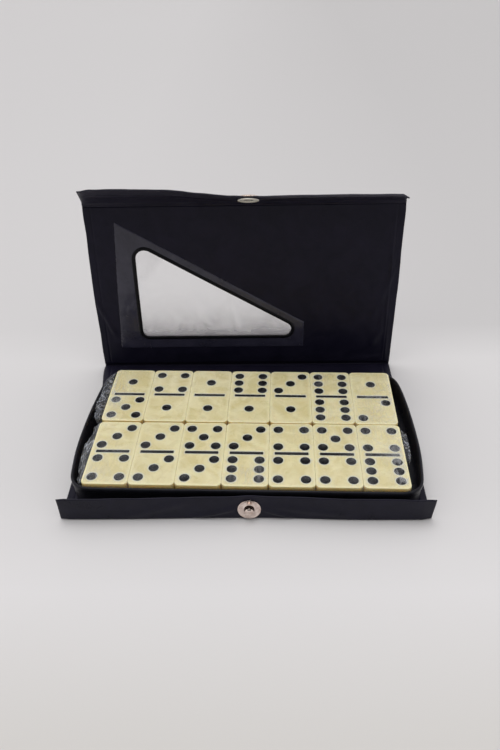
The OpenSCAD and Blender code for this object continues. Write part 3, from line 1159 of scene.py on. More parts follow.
    def slide(self, x: Array, s: Array) -> Array:
        """How far the front fold bulges forwards, most on the right where the tray presses on it."""
        half = self.profile.width / 2
        bulge = 1.0 + 0.6 * smooth(-x, 10, 70) + 1.7 * smooth(x, 5, 65)
        return bulge * (1 - 0.35 * smooth(np.abs(x), half - 6, half)) * (1 - smooth(s, 2, 38))

    def lip_stray(self, x: Array, s: Array) -> Array:
        """How far the lip strays inwards: slack on the left, held at the cap, tilted at the snap."""
        half = self.profile.width / 2
        up = self.up(s)
        left = (1 - smooth(x, -50, 0)) * (0.95 + 0.05 * np.cos(x / 9))
        round_cap = hump(x, SNAP_X, np.where(x < SNAP_X, 7.0, 10.0))
        tip = -(0.5 + 1.1 * (1 - round_cap) + 4.2 * left + 0.7 * smooth(-x, 50, 82)) * up**1.15
        ear = smooth(x, half - 4, half) * 1.6 + smooth(-x, half - 8, half)
        tip += 1.2 * ear * up**2
        tip += 0.3 * self.ripple(x, s * 0.4) * up**2 * (1 - hump(x, SNAP_X, 12))
        tilt = -0.25 - math.tan(math.radians(LIP_TILT)) * (s - self.profile.folds[3] - SNAP_UP)
        return tip + tilt * np.exp(-((self.off_snap(x, s) / 9.5) ** 4))

    def flap_stray(self, x: Array, s: Array) -> Array:
        """How far the flap strays inwards: its lean, the pulls round the stud and the stud's seat."""
        half = self.profile.width / 2
        down = np.clip(-s / self.profile.flap, 0, 1)
        lean = 0.15 + 0.6 * hump(x, SNAP_X, 34) - 0.85 * smooth(x, 60, 94)
        lean += 0.3 * self.ripple(x + 40, s * 0.3) * (1 - hump(x, SNAP_X, 9))
        lean -= 0.9 * smooth(np.abs(x), half - 5, half)
        pull = sum(pleat(x, -s) for pleat in self.pulls) * smooth(np.hypot(x - 2.0, s + 7.0), 5.6, 9.0)
        seat = np.exp(-((np.hypot(x - 2.15, s + 6.7) / 8.5) ** 4)) * smooth(-s, 0, 3)
        pull += (0.3 - math.tan(math.radians(FLAP_TILT)) * (s + 6.7)) * seat
        return lean * down**1.2 + pull * smooth(down, 0.02, 0.2)

    def lift(self, x: Array, s: Array) -> Array:
        """How far the free edges stray inwards from their flat panels."""
        return self.lip_stray(x, s) * (s > self.profile.folds[3]) + self.flap_stray(x, s) * (s < 0)

    def pattern(self, low: float, high: float, step: float,
                hole: bool) -> tuple[Array, Faces, Array, Array]:
        """The flat pattern of one length.

        Args:
            low: where it starts along the line.
            high: where it ends.
            step: distance between sampling lines.
            hole: True to leave the window open.

        Returns:
            The points (x, s), the faces, which points lie on a rim, and their distances from the window.
        """
        half, folds = self.profile.width / 2, self.profile.folds
        near = [f for f in folds if low - 1 < f < high + 1]
        snap = folds[3] + SNAP_UP
        around = [-2.6, 0.0, 2.6] if low < snap < high else []
        xs = self.lines(-half, half, step, [-half, half, -half + self.weld_in, half - self.weld_in,
                                            *(SNAP_X + d for d in around)])
        ss = self.lines(low, high, step, [low, high, *near, *(snap + d for d in around)])
        points = np.column_stack([a.ravel() for a in np.meshgrid(xs, ss)])

        def on_edge(places: Array) -> Array:
            """True for each place on the length's own four edges."""
            x, s = places.T
            return (np.abs(np.abs(x) - half) < 1e-6) | (s == low) | (s == high)

        if not hole:
            return points, sheet_faces(len(ss), len(xs)), on_edge(points), np.full(len(points), FAR)
        rims = [self.window.outline(g) + [0, folds[2]] for g in (0.0, 0.18, 0.45, 0.9, 1.5)]
        clear = ~inside(rims[0], points) & (distance(rims[0], points) > 2.0)
        loose = np.concatenate([points[clear | on_edge(points)], *rims[1:]])
        points, faces = triangulate([rims[0]], loose, [rims[0]])
        boundary = on_edge(points)
        boundary[: len(rims[0])] = True
        return points, faces, boundary, distance(rims[0], points)

    def shell(self, name: str, low: float, high: float, step: float, open_ends: tuple[bool, bool],
              hole: bool = False) -> bpy.types.Object:
        """One length of the folded sheets as a closed skin.

        Args:
            name: name of the piece.
            low: where it starts along the line.
            high: where it ends.
            step: distance between sampling lines.
            open_ends: whether the low and the high end are the case's own free edges.
            hole: True to leave the window open.

        Returns:
            The piece, with the lining inside and the cover outside.
        """
        points, faces, boundary, gap = self.pattern(low, high, step, hole)
        x, s = points.T
        half = self.profile.width / 2
        inner, outer = self.inner(x, s), self.outer(x, s)
        middle = (inner + outer) / 2
        full = 1 - np.clip(self.edge(x) / self.edge_round, 0, 1)
        for end, free in ((low, open_ends[0]), (high, open_ends[1])):
            full = np.maximum(full, 1 - np.clip(np.abs(s - end) / (0.55 if free else 0.22), 0, 1))
        full = np.maximum(full, 1 - np.clip(gap / 0.6, 0, 1))
        share = np.sqrt(1 - full**2)
        stray = self.lift(x, s)
        wobble = 0.25 * self.ripple(x * 0.2, s) * np.sign(x) * smooth(np.abs(x), half - 8, half)
        across = self.across(x, s) + wobble
        ahead = np.column_stack([0 * across, self.slide(x, s), 0 * across])
        upper, lower = (self.profile.at(across, s, middle + (face - middle) * share + stray) - ahead
                        for face in (inner, outer))
        places, both, keep = doubled(upper, lower, boundary, faces)
        picks = [0] * len(faces) + [1] * len(faces)
        made = piece(name, places, both,
                     [self.wardrobe[Finish.LINING], self.wardrobe[Finish.COVER]], picks)
        up = self.up(s)
        # Painted light on the lip's lining: faintly lighter from just above its fold, and a lit band over
        # its upper part, strongest right of the snap.
        tone = 0.12 * smooth(up, 0, 0.1) + smooth(up, 0.5, 0.8) * (0.2 + 0.68 * smooth(x, 6, 22))
        store(made, "tone", np.concatenate([tone, 0 * tone[keep]]))
        return made

    def build(self) -> list[bpy.types.Object]:
        """Makes the four lengths and hides the model's pieces that they stand for; they stay fixed where
        they are made.
        """
        p = self.profile
        f = p.folds
        spine_seam, lid_seam = f[1] + 3.2, f[3] - 2.3
        front = self.shell("flap_and_base_sheets", -p.flap, p.base / 2, 1.3, (True, False))
        rear = self.shell("base_and_spine_sheets", p.base / 2, spine_seam, 1.6, (False, False))
        lid = self.shell("spine_and_lid_sheets", spine_seam, lid_seam, 1.15, (False, False), hole=True)
        lip = self.shell("lid_and_lip_sheets", lid_seam, f[3] + p.lip, 1.0, (False, True))
        front_y = -p.base / 2 * MM
        for made, a, b, start, end, nodes in (
            (front, "base", "flap", (0.0, front_y, 0.2 * MM), (0.0, front_y - 2.0 * MM, 5.0 * MM),
             ("front_flap", "flap_lining", "base_cover", "base_lining")),
            (rear, "base", "spine", p.point(f[1] - 1.8), p.point(f[1] + 1.8),
             ("base_cover", "base_lining")),
            (lid, "spine", "lid", p.point(f[2] - 2.4), p.point(f[2] + 2.4),
             ("spine_cover", "spine_lining", "lid_cover", "lid_lining")),
            (lip, "lid", "lip", p.point(f[3] - 2.0), p.point(f[3] + 2.8), ("closing_lip", "lip_lining")),
        ):
            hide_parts(*nodes)
            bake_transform(made)
        return [front, rear, lid, lip]


class Sweep(GeometryGroup):
    """A Geometry Nodes tree that runs a section along a path."""

    def __init__(self) -> None:
        """Builds the tree: path and section come in as objects, and one material is set."""
        super().__init__("Section along a path",
                         {"Section": "Object", "Section scale": "Float", "Material": "Material"})
        path = self.after(self.given["Geometry"], "MeshToCurve")
        level = self.after(path, "SetCurveNormal", {"mode": "Z_UP"})
        outline = self.after(self.shape("Section"), "MeshToCurve")
        size = self.after(outline, "Transform", None, Scale=self.given["Section scale"])
        swept = self.after(level, "CurveToMesh", None, Profile_Curve=size, Fill_Caps=True)
        soft = self.after(self.after(swept, "RealizeInstances"), "SetShadeSmooth")
        self.close(self.after(soft, "SetMaterial", None, Material=self.given["Material"]))

    def run(self, name: str, path: Array, section: Array, material: bpy.types.Material,
            closed: bool = True) -> bpy.types.Object:
        """Sweeps a closed section along a path.

        Args:
            name: name of the piece.
            path: points of the path in millimetres, level in its own frame.
            section: points (outwards, downwards) of the closed section.
            material: what to set on the result.
            closed: True if the path is a loop.

        Returns:
            The swept piece as a plain mesh at the origin.
        """
        pairs = ring_pairs(len(path))
        holder = wire(name, path, pairs if closed else pairs[:-1])
        cutter = wire(name + "_section", at_height(section, 0.0), ring_pairs(len(section)))
        self.modify(holder, Section=cutter, Section_scale=1.0, Material=material)
        return settle(holder, [cutter])


def settle(holder: bpy.types.Object, spare: Sequence[bpy.types.Object] = ()) -> bpy.types.Object:
    """Turns a modified object into a plain mesh.

    Args:
        holder: the object with its modifiers.
        spare: objects that only helped to make it, and go.

    Returns:
        The same object.
    """
    bpy.context.view_layer.update()
    graph = bpy.context.evaluated_depsgraph_get()
    mesh = bpy.data.meshes.new_from_object(holder.evaluated_get(graph))
    mesh.name = holder.name
    holder.modifiers.clear()
    old = holder.data
    holder.data = mesh
    bpy.data.meshes.remove(old)
    for other in spare:
        bpy.data.objects.remove(other)
    return holder


def outwards(target: bpy.types.Object) -> None:
    """Turns a closed mesh's faces so that they point out."""
    mesh = target.data
    volume = 0.0
    mesh.calc_loop_triangles()
    for triangle in mesh.loop_triangles:
        a, b, c = (mesh.vertices[i].co for i in triangle.vertices)
        volume += a.dot(b.cross(c))
    if volume < 0:
        mesh.flip_normals()


@dataclass
class LidWindow:
    """The film over the lid's opening and the black weld bead round it."""

    profile: CaseProfile
    window: Window
    wardrobe: Wardrobe
    sweep: Sweep
    sheets: Sheets
    seat: float = 0.1
    thickness: float = 0.12
    wave: Wander = field(default_factory=lambda: Wander(11, 12.0))
    fine: Wander = field(default_factory=lambda: Wander(12, 4.0, 0.6))

    def film(self) -> bpy.types.Object:
        """The film: glossy over the vinyl, milky and creased across the opening."""
        cut, hole = self.window.film_outline(), self.window.outline(0.6)
        xs = np.arange(cut[:, 0].min(), cut[:, 0].max(), 1.1)
        ys = np.arange(cut[:, 1].min(), cut[:, 1].max(), 1.1)
        grid = np.column_stack([a.ravel() for a in np.meshgrid(xs, ys)])
        grid = grid[inside(cut, grid) & (distance(cut, grid) > 0.8) & (distance(hole, grid) > 0.5)]
        inwards = cut.mean(axis=0) - cut
        brim = cut + 0.3 * inwards / np.hypot(*inwards.T)[:, None]
        points, faces = triangulate([cut, brim, hole], grid, [])
        edge = distance(cut, points)
        open_part = inside(hole, points)
        depth_in = distance(hole, points) * open_part
        pull = smooth(depth_in, 0.5, 5.0)
        low = points[:, 1] - self.window.low
        creased = np.exp(-low / 9.0) * open_part
        lining = self.sheets.inner(points[:, 0], points[:, 1] + self.profile.folds[2])
        height = lining + self.seat
        height += 0.07 * (1 + self.wave(*points.T)) * ~open_part * smooth(edge, 0.2, 2.0)
        height += pull * (0.2 * self.wave(*points.T) + (0.01 + 0.5 * creased) * self.fine(*points.T))
        rim = edge < 1e-6
        top = at_height(points, height + self.thickness * ~rim)
        places, both, keep = doubled(top, at_height(points, height), rim, faces)
        pane = inside(hole, np.array([points[f].mean(axis=0) for f in faces])).astype(int)
        places[:, 0] = self.sheets.across(places[:, 0], places[:, 1] + self.profile.folds[2])
        made = piece("window_film_sheet", carry(self.profile.lid_frame(), places), both,
                     [self.wardrobe[Finish.FLANGE], self.wardrobe[Finish.PANE]], [*pane, *pane])
        slant = points @ np.array([[0.8, 0.6], [-0.6, 0.8]])
        folds = np.clip(self.wave(slant[:, 0] * 1.6, slant[:, 1] * 0.4), 0, 1)
        crease = np.clip(0.02 + 0.85 * creased + 0.14 * folds, 0, 1)
        store(made, "crease", np.concatenate([crease, crease[keep]]))
        return made

    def bead(self) -> bpy.types.Object:
        """The weld bead, swept round the opening."""
        path = at_height(self.window.outline(self.window.bead / 2), 0.0)
        half, top = self.window.bead / 2, 0.72
        ridge = [(-half, 0.35), (-half, -0.1), (-half * 0.82, -top * 0.75), (-half * 0.45, -top),
                 (0.0, -top * 1.02), (half * 0.3, -top * 0.98), (half * 0.62, -top * 0.8),
                 (half * 0.86, -top * 0.5), (half, -0.1), (half, 0.35)]
        made = self.sweep.run("window_weld_bead", path, np.array(ridge), self.wardrobe[Finish.BEAD])
        co = np.array([v.co for v in made.data.vertices]) / MM
        co[:, 2] += self.sheets.inner(co[:, 0], co[:, 1] + self.profile.folds[2]) + self.thickness
        co[:, 0] = self.sheets.across(co[:, 0], co[:, 1] + self.profile.folds[2])
        made.data.vertices.foreach_set("co", (co * MM).ravel())
        frame = self.profile.lid_frame()
        frame.translation *= MM
        made.data.transform(frame)
        outwards(made)
        return made

    def build(self) -> list[bpy.types.Object]:
        """Makes both and sets them on the lid."""
        film, bead = self.film(), self.bead()
        for made, node, slot in ((film, "window_film", "window_film"), (bead, "window_bead", "weld_bead")):
            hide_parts(node)
            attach(made, "lid")
        return [film, bead]


@dataclass(frozen=True)
class TrayFrame:
    """How the tray and the packs stand on the base."""

    shift: float = 1.2
    along: float = -1.5
    turn: float = -1.6

    def matrix(self) -> Matrix:
        """From the tray's frame to the case's, in millimetres."""
        return Matrix.Translation((self.shift, self.along, 0)) @ turned(self.turn, "Z")

    def pack(self, number: int) -> Matrix:
        """A pack's own small turn and shift within the tray, in millimetres."""
        if not number:
            return Matrix()
        centre = Matrix.Translation((0, 24.15, 0))
        slip = Matrix.Translation((0, 0.42, 0)) @ centre
        return slip @ turned(-0.22, "Z") @ centre.inverted()


@dataclass
class Tray:
    """The thin glossy tray: bowed ends, soft corners and a rolled rim."""

    frame: TrayFrame
    wardrobe: Wardrobe
    half_width: float = 90.05
    half_depth: float = 48.9
    corner: float = 10.1
    bow: float = 2.4
    foot: float = 1.9
    floor: float = 2.7
    rim: float = 15.7

    def outline(self, grow: float) -> Array:
        """The inner wall's outline, smoothed and grown by grow."""
        straight, inset = self.half_depth - self.corner, self.half_width - self.corner
        right: Loop = []
        for i in range(-12, 13):
            t = i / 12
            right.append((self.half_width + self.bow * (1 - t * t), t * straight))
        for i in range(1, 13):
            a = math.pi / 2 * i / 12
            right.append((inset + self.corner * math.cos(a), straight + self.corner * math.sin(a)))
        right += [(inset * (1 - 2 * i / 46), self.half_depth) for i in range(1, 46)]
        half = right + [(-x, y) for x, y in right[36:24:-1]]
        loop = np.array(half + [(-x, -y) for x, y in half])
        x, y = loop.T
        pressed = 0.45 * hump(y, -22, 18) - (0.65 + 0.3 * smooth(x, -5, 5)) * smooth(y, 0, 42)
        pressed -= (0.4 + 0.25 * smooth(x, -5, 5)) * hump(y, 6, 26)
        pressed -= (0.6 + 0.5 * smooth(x, -5, 5)) * smooth(y, 34, 46)
        loop[:, 0] += np.sign(x) * smooth(np.abs(x), 60, 86) * pressed
        for _ in range(3):
            loop = (np.roll(loop, 1, axis=0) + 2 * loop + np.roll(loop, -1, axis=0)) / 4
        way = np.roll(loop, -1, axis=0) - np.roll(loop, 1, axis=0)
        way /= np.hypot(*way.T)[:, None]
        return loop + grow * np.column_stack([way[:, 1], -way[:, 0]])

    def build(self) -> list[bpy.types.Object]:
        """Lofts the tray from the floor over the rim and down the outside."""
        wander = Wander(21, 22.0)
        f, r, foot = self.floor, self.rim, self.foot
        steps = [(-16.0, f), (-4.0, f), (-2.2, f + 0.03), (-1.2, f + 0.3), (-0.5, f + 0.9), (-0.15, f + 1.8),
                 (0.0, f + 3.2), (0.0, r - 4.0), (0.02, r - 1.4), (0.08, r - 0.5), (0.28, r - 0.1), (0.6, r),
                 (1.0, r - 0.03), (1.32, r - 0.25), (1.5, r - 0.7), (1.52, r - 1.5), (1.5, r - 2.6),
                 (1.4, r - 3.0), (1.15, r - 3.25), (0.95, r - 3.6), (0.9, r - 4.4), (0.88, r - 6.0),
                 (0.86, foot + 2.2), (0.7, foot + 0.9), (0.3, foot + 0.2), (-0.4, foot), (-16.0, foot)]
        loops = []
        for grow, z in steps:
            loop = self.outline(grow)
            lift = smooth(np.array([z]), f + 2, r)[0]
            loops.append(at_height(loop, z + 0.14 * lift * wander(loop[:, 0], loop[:, 1])))
        points, faces = loft(loops[::-1])
        made = piece("tray_shell", carry(self.frame.matrix(), points), faces, [self.wardrobe[Finish.TRAY]])
        outwards(made)
        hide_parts("tray")
        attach(made, "base")
        return [made]


class PipPainter(GeometryGroup):
    """A Geometry Nodes tree that sets a drop of enamel in every pip of a tile."""

    def __init__(self) -> None:
        """Builds the tree."""
        super().__init__("Enamel in the pips",
                         {"Pip places": "Object", "Drop": "Object", "Drop size": "Float", "Seed": "Int",
                          "Enamel": "Material"})
        turn = self.add("FunctionNodeRandomValue", {"data_type": "FLOAT"}, Seed=self.given["Seed"])
        turn.inputs[3].default_value = 6.28
        spin = self.add("CombineXYZ", None, Z=turn.outputs[1])
        spread = self.after(self.shape("Pip places"), "InstanceOnPoints", None,
                            Instance=self.shape("Drop"), Rotation=spin.outputs[0],
                            Scale=self.given["Drop size"])
        real = self.after(spread, "RealizeInstances")
        paint = self.after(real, "SetMaterial", None, Material=self.given["Enamel"])
        join = self.add("GeometryNodeJoinGeometry")
        self.feed(join.inputs[0], paint)
        self.feed(join.inputs[0], self.given["Geometry"])
        self.close(join.outputs[0])


@dataclass
class Dominoes:
    """The twenty-eight pieces in their two packs, two layers of seven each."""

    frame: TrayFrame
    wardrobe: Wardrobe
    width: float = 24.06
    length: float = 47.96
    thick: float = 7.0
    corner: float = 2.6
    edge: float = 0.5
    edge_down: float = 0.32
    pip_r: float = 2.68
    pip_sides: int = 28
    columns: float = 14.3
    rows: float = 6.8
    bar: tuple[float, float] = (18.1, 2.1)
    bar_depth: float = 0.4
    pitch: float = 24.1
    layer: float = 7.1
    bottom: float = 2.95
    pack_offset: float = 24.15
    PACKS: tuple = (
        (((0, 0), (0, 1), (0, 2), (0, 3), (0, 4), (0, 5), (0, 6)),
         ((3, 4), (3, 3), (5, 3), (3, 6), (4, 4), (5, 4), (4, 6))),
        (((2, 2), (2, 3), (2, 4), (2, 5), (2, 6), (5, 5), (5, 6)),
         ((1, 5), (4, 1), (1, 1), (6, 1), (3, 1), (6, 6), (1, 2))),
    )

    def pips(self, number: int) -> Loop:
        """Places of a number's pips, from its half's centre."""
        steps = [(0, 0)] if number % 2 else []
        steps += [(1, 1), (-1, -1)] if number >= 2 else []
        steps += [(1, -1), (-1, 1)] if number >= 4 else []
        steps += [(1, 0), (-1, 0)] if number == 6 else []
        return [(x * self.columns / 2, y * self.rows) for x, y in steps]

    def spots(self, ends: tuple[int, int]) -> Loop:
        """Places of all pips of a tile, the back half's first."""
        halves = ((ends[0], self.length / 4), (ends[1], -self.length / 4))
        return [(x, y + middle) for number, middle in halves for x, y in self.pips(number)]

    def off_pips(self, points: Array, places: Loop) -> Array:
        """Distance of each point from the nearest pip's rim, negative inside it."""
        near = np.full(len(points), FAR)
        for x, y in places:
            near = np.minimum(near, np.hypot(points[:, 0] - x, points[:, 1] - y) - self.pip_r)
        return near

    def bar_loop(self, grow: float, radius: float, cuts: int = 6) -> Array:
        """The bar's outline, grown by grow."""
        return rounded_rect(self.bar[0] + 2 * grow, self.bar[1] + 2 * grow, radius, 3, (1, cuts))

    def drop(self) -> bpy.types.Object:
        """One drop of enamel: a shallow dish with a rounded rim, round the origin at the tile's face."""
        r = self.pip_r + 0.02
        rings = [(r * 0.3, -0.55), (r * 0.96, -0.16), (r, -0.05), (r * 0.98, -0.02), (r * 0.9, -0.08),
                 (r * 0.72, -0.22), (r * 0.48, -0.35), (r * 0.22, -0.43)]
        points, faces = loft([at_height(circle((0, 0), radius, 24), z) for radius, z in rings])
        return piece("enamel_drop", points, faces, [self.wardrobe[Finish.PAINT]])

    def body(self, name: str, ends: tuple[int, int], seed: float) -> bpy.types.Object:
        """A tile's body with its recesses, round the origin, underside at z 0.

        Args:
            name: name of the tile.
            ends: number of pips at the back and at the front.
            seed: where its marbling starts.

        Returns:
            The tile without its enamel drops.
        """
        w, d, t, r, pip = self.width, self.length, self.thick, self.corner, self.pip_r
        profile = [(1.2, 0.0), (0.55, 0.12), (0.15, 0.45), (0.0, 1.0), (0.0, 2.4), (0.0, 4.4),
                   (0.0, t - 1.5)]
        for i in range(7):
            a = math.pi / 2 * i / 6
            profile.append((self.edge * (1 - math.cos(a)), t - self.edge_down * (1 - math.sin(a))))
        loops = [at_height(rounded_rect(w - 2 * inset, d - 2 * inset, r - inset * 0.8), z)
                 for inset, z in profile]
        sides, faces = loft(loops, caps=False)
        ring = len(loops[0])
        faces.append(list(range(ring - 1, -1, -1)))
        places = self.spots(ends)
        rims = [circle(c, pip + 0.07, self.pip_sides) for c in places]
        slot = self.bar_loop(0.0, 0.45)
        loose = np.concatenate([*(circle(c, pip + g, 20) for c in places for g in (0.35, 1.0)),
                                *(self.bar_loop(g, 0.45 + g, 9) for g in (0.3, 0.9)),
                                rounded_rect(w - 4.4, d - 4.4, 1.5, 3)])
        clear = (self.off_pips(loose, places) > 0.3) & inside(rounded_rect(w - 3.2, d - 3.2, 2.0), loose)
        clear &= np.any(np.abs(loose) > np.array(self.bar) / 2 + 0.2, axis=1)
        flat, top = triangulate([loops[-1][:, :2], *rims, slot], loose[clear], [*rims, slot])
        points = [*sides.tolist(), *at_height(flat[ring:], t).tolist()]
        faces += [[len(sides) - ring + i for i in f] for f in top]
        bowl = ((pip - 0.02, -0.07), (pip * 0.9, -0.2), (pip * 0.6, -0.4), (pip * 0.25, -0.5))
        groove = ((0.03, -0.05), (0.12, -0.14), (0.28, -self.bar_depth * 0.7))
        start = len(sides)
        for c in places:
            sink(points, faces, start, [at_height(circle(c, radius, self.pip_sides), t + z)
                                        for radius, z in bowl])
            start += self.pip_sides
        ivory = len(faces)
        sink(points, faces, start, [at_height(self.bar_loop(-shrink, 0.45 - shrink * 0.5), t + z)
                                    for shrink, z in groove])
        picks = [0] * ivory + [1] * (len(faces) - ivory)
        made = piece(name, np.array(points), faces,
                     [self.wardrobe[Finish.IVORY], self.wardrobe[Finish.PAINT]], picks)
        co = np.array([v.co for v in made.data.vertices]) / MM
        x, y, z = co.T
        off_bar = np.maximum(np.abs(x) - self.bar[0] / 2, np.abs(y) - self.bar[1] / 2)
        near = np.minimum(np.abs(self.off_pips(co, places)), np.abs(off_bar))
        store(made, "halo", (1 - smooth(near, 0.2, 0.95)) * (z > t - 0.6))
        # Painted warm light on the sides below the top edge, where the seams lie in shade.
        store(made, "depth", 1 - smooth(z, t - 0.75, t - 0.03))
        # Painted highlight on the rounded top edges of the tile.
        brim = np.minimum(w / 2 - np.abs(x), d / 2 - np.abs(y))
        store(made, "rounding", (1 - smooth(brim, 0.5, 1.9)) * smooth(z, t - 1.3, t - 0.3))
        store(made, "tile_seed", np.full(len(co), seed))
        return made

    def build(self) -> list[bpy.types.Object]:
        """Makes every tile, with its enamel, and sets it in its pack."""
        painter = PipPainter()
        drop = self.drop()
        rng = np.random.default_rng(8)
        made: list[bpy.types.Object] = []
        for pack, layers in enumerate(self.PACKS):
            for layer, row in enumerate(layers):
                for column, ends in enumerate(row):
                    name = f"tile_{min(ends)}_{max(ends)}"
                    seed = float(rng.uniform(0.2, 9.0))
                    tile = self.body(name, ends, seed)
                    spots = np.array(self.spots(ends)).reshape(-1, 2)
                    holder = wire(name + "_pips", at_height(spots, self.thick))
                    painter.modify(tile, Pip_places=holder, Drop=drop, Drop_size=1.0,
                                   Seed=pack * 14 + layer * 7 + column, Enamel=self.wardrobe[Finish.PAINT])
                    settle(tile, [holder])
                    turn = turned(rng.uniform(-0.12, 0.12), "Z")
                    spot = Matrix.Translation(((column - 3) * self.pitch,
                                               (2 * pack - 1) * self.pack_offset,
                                               self.bottom + layer * self.layer))
                    move = self.frame.matrix() @ self.frame.pack(pack) @ spot @ turn
                    move.translation *= MM
                    tile.data.transform(move)
                    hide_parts(f"domino_{min(ends)}_{max(ends)}")
                    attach(tile, "back_pack" if pack else "front_pack")
                    made.append(tile)
        bpy.data.objects.remove(drop)
        return made


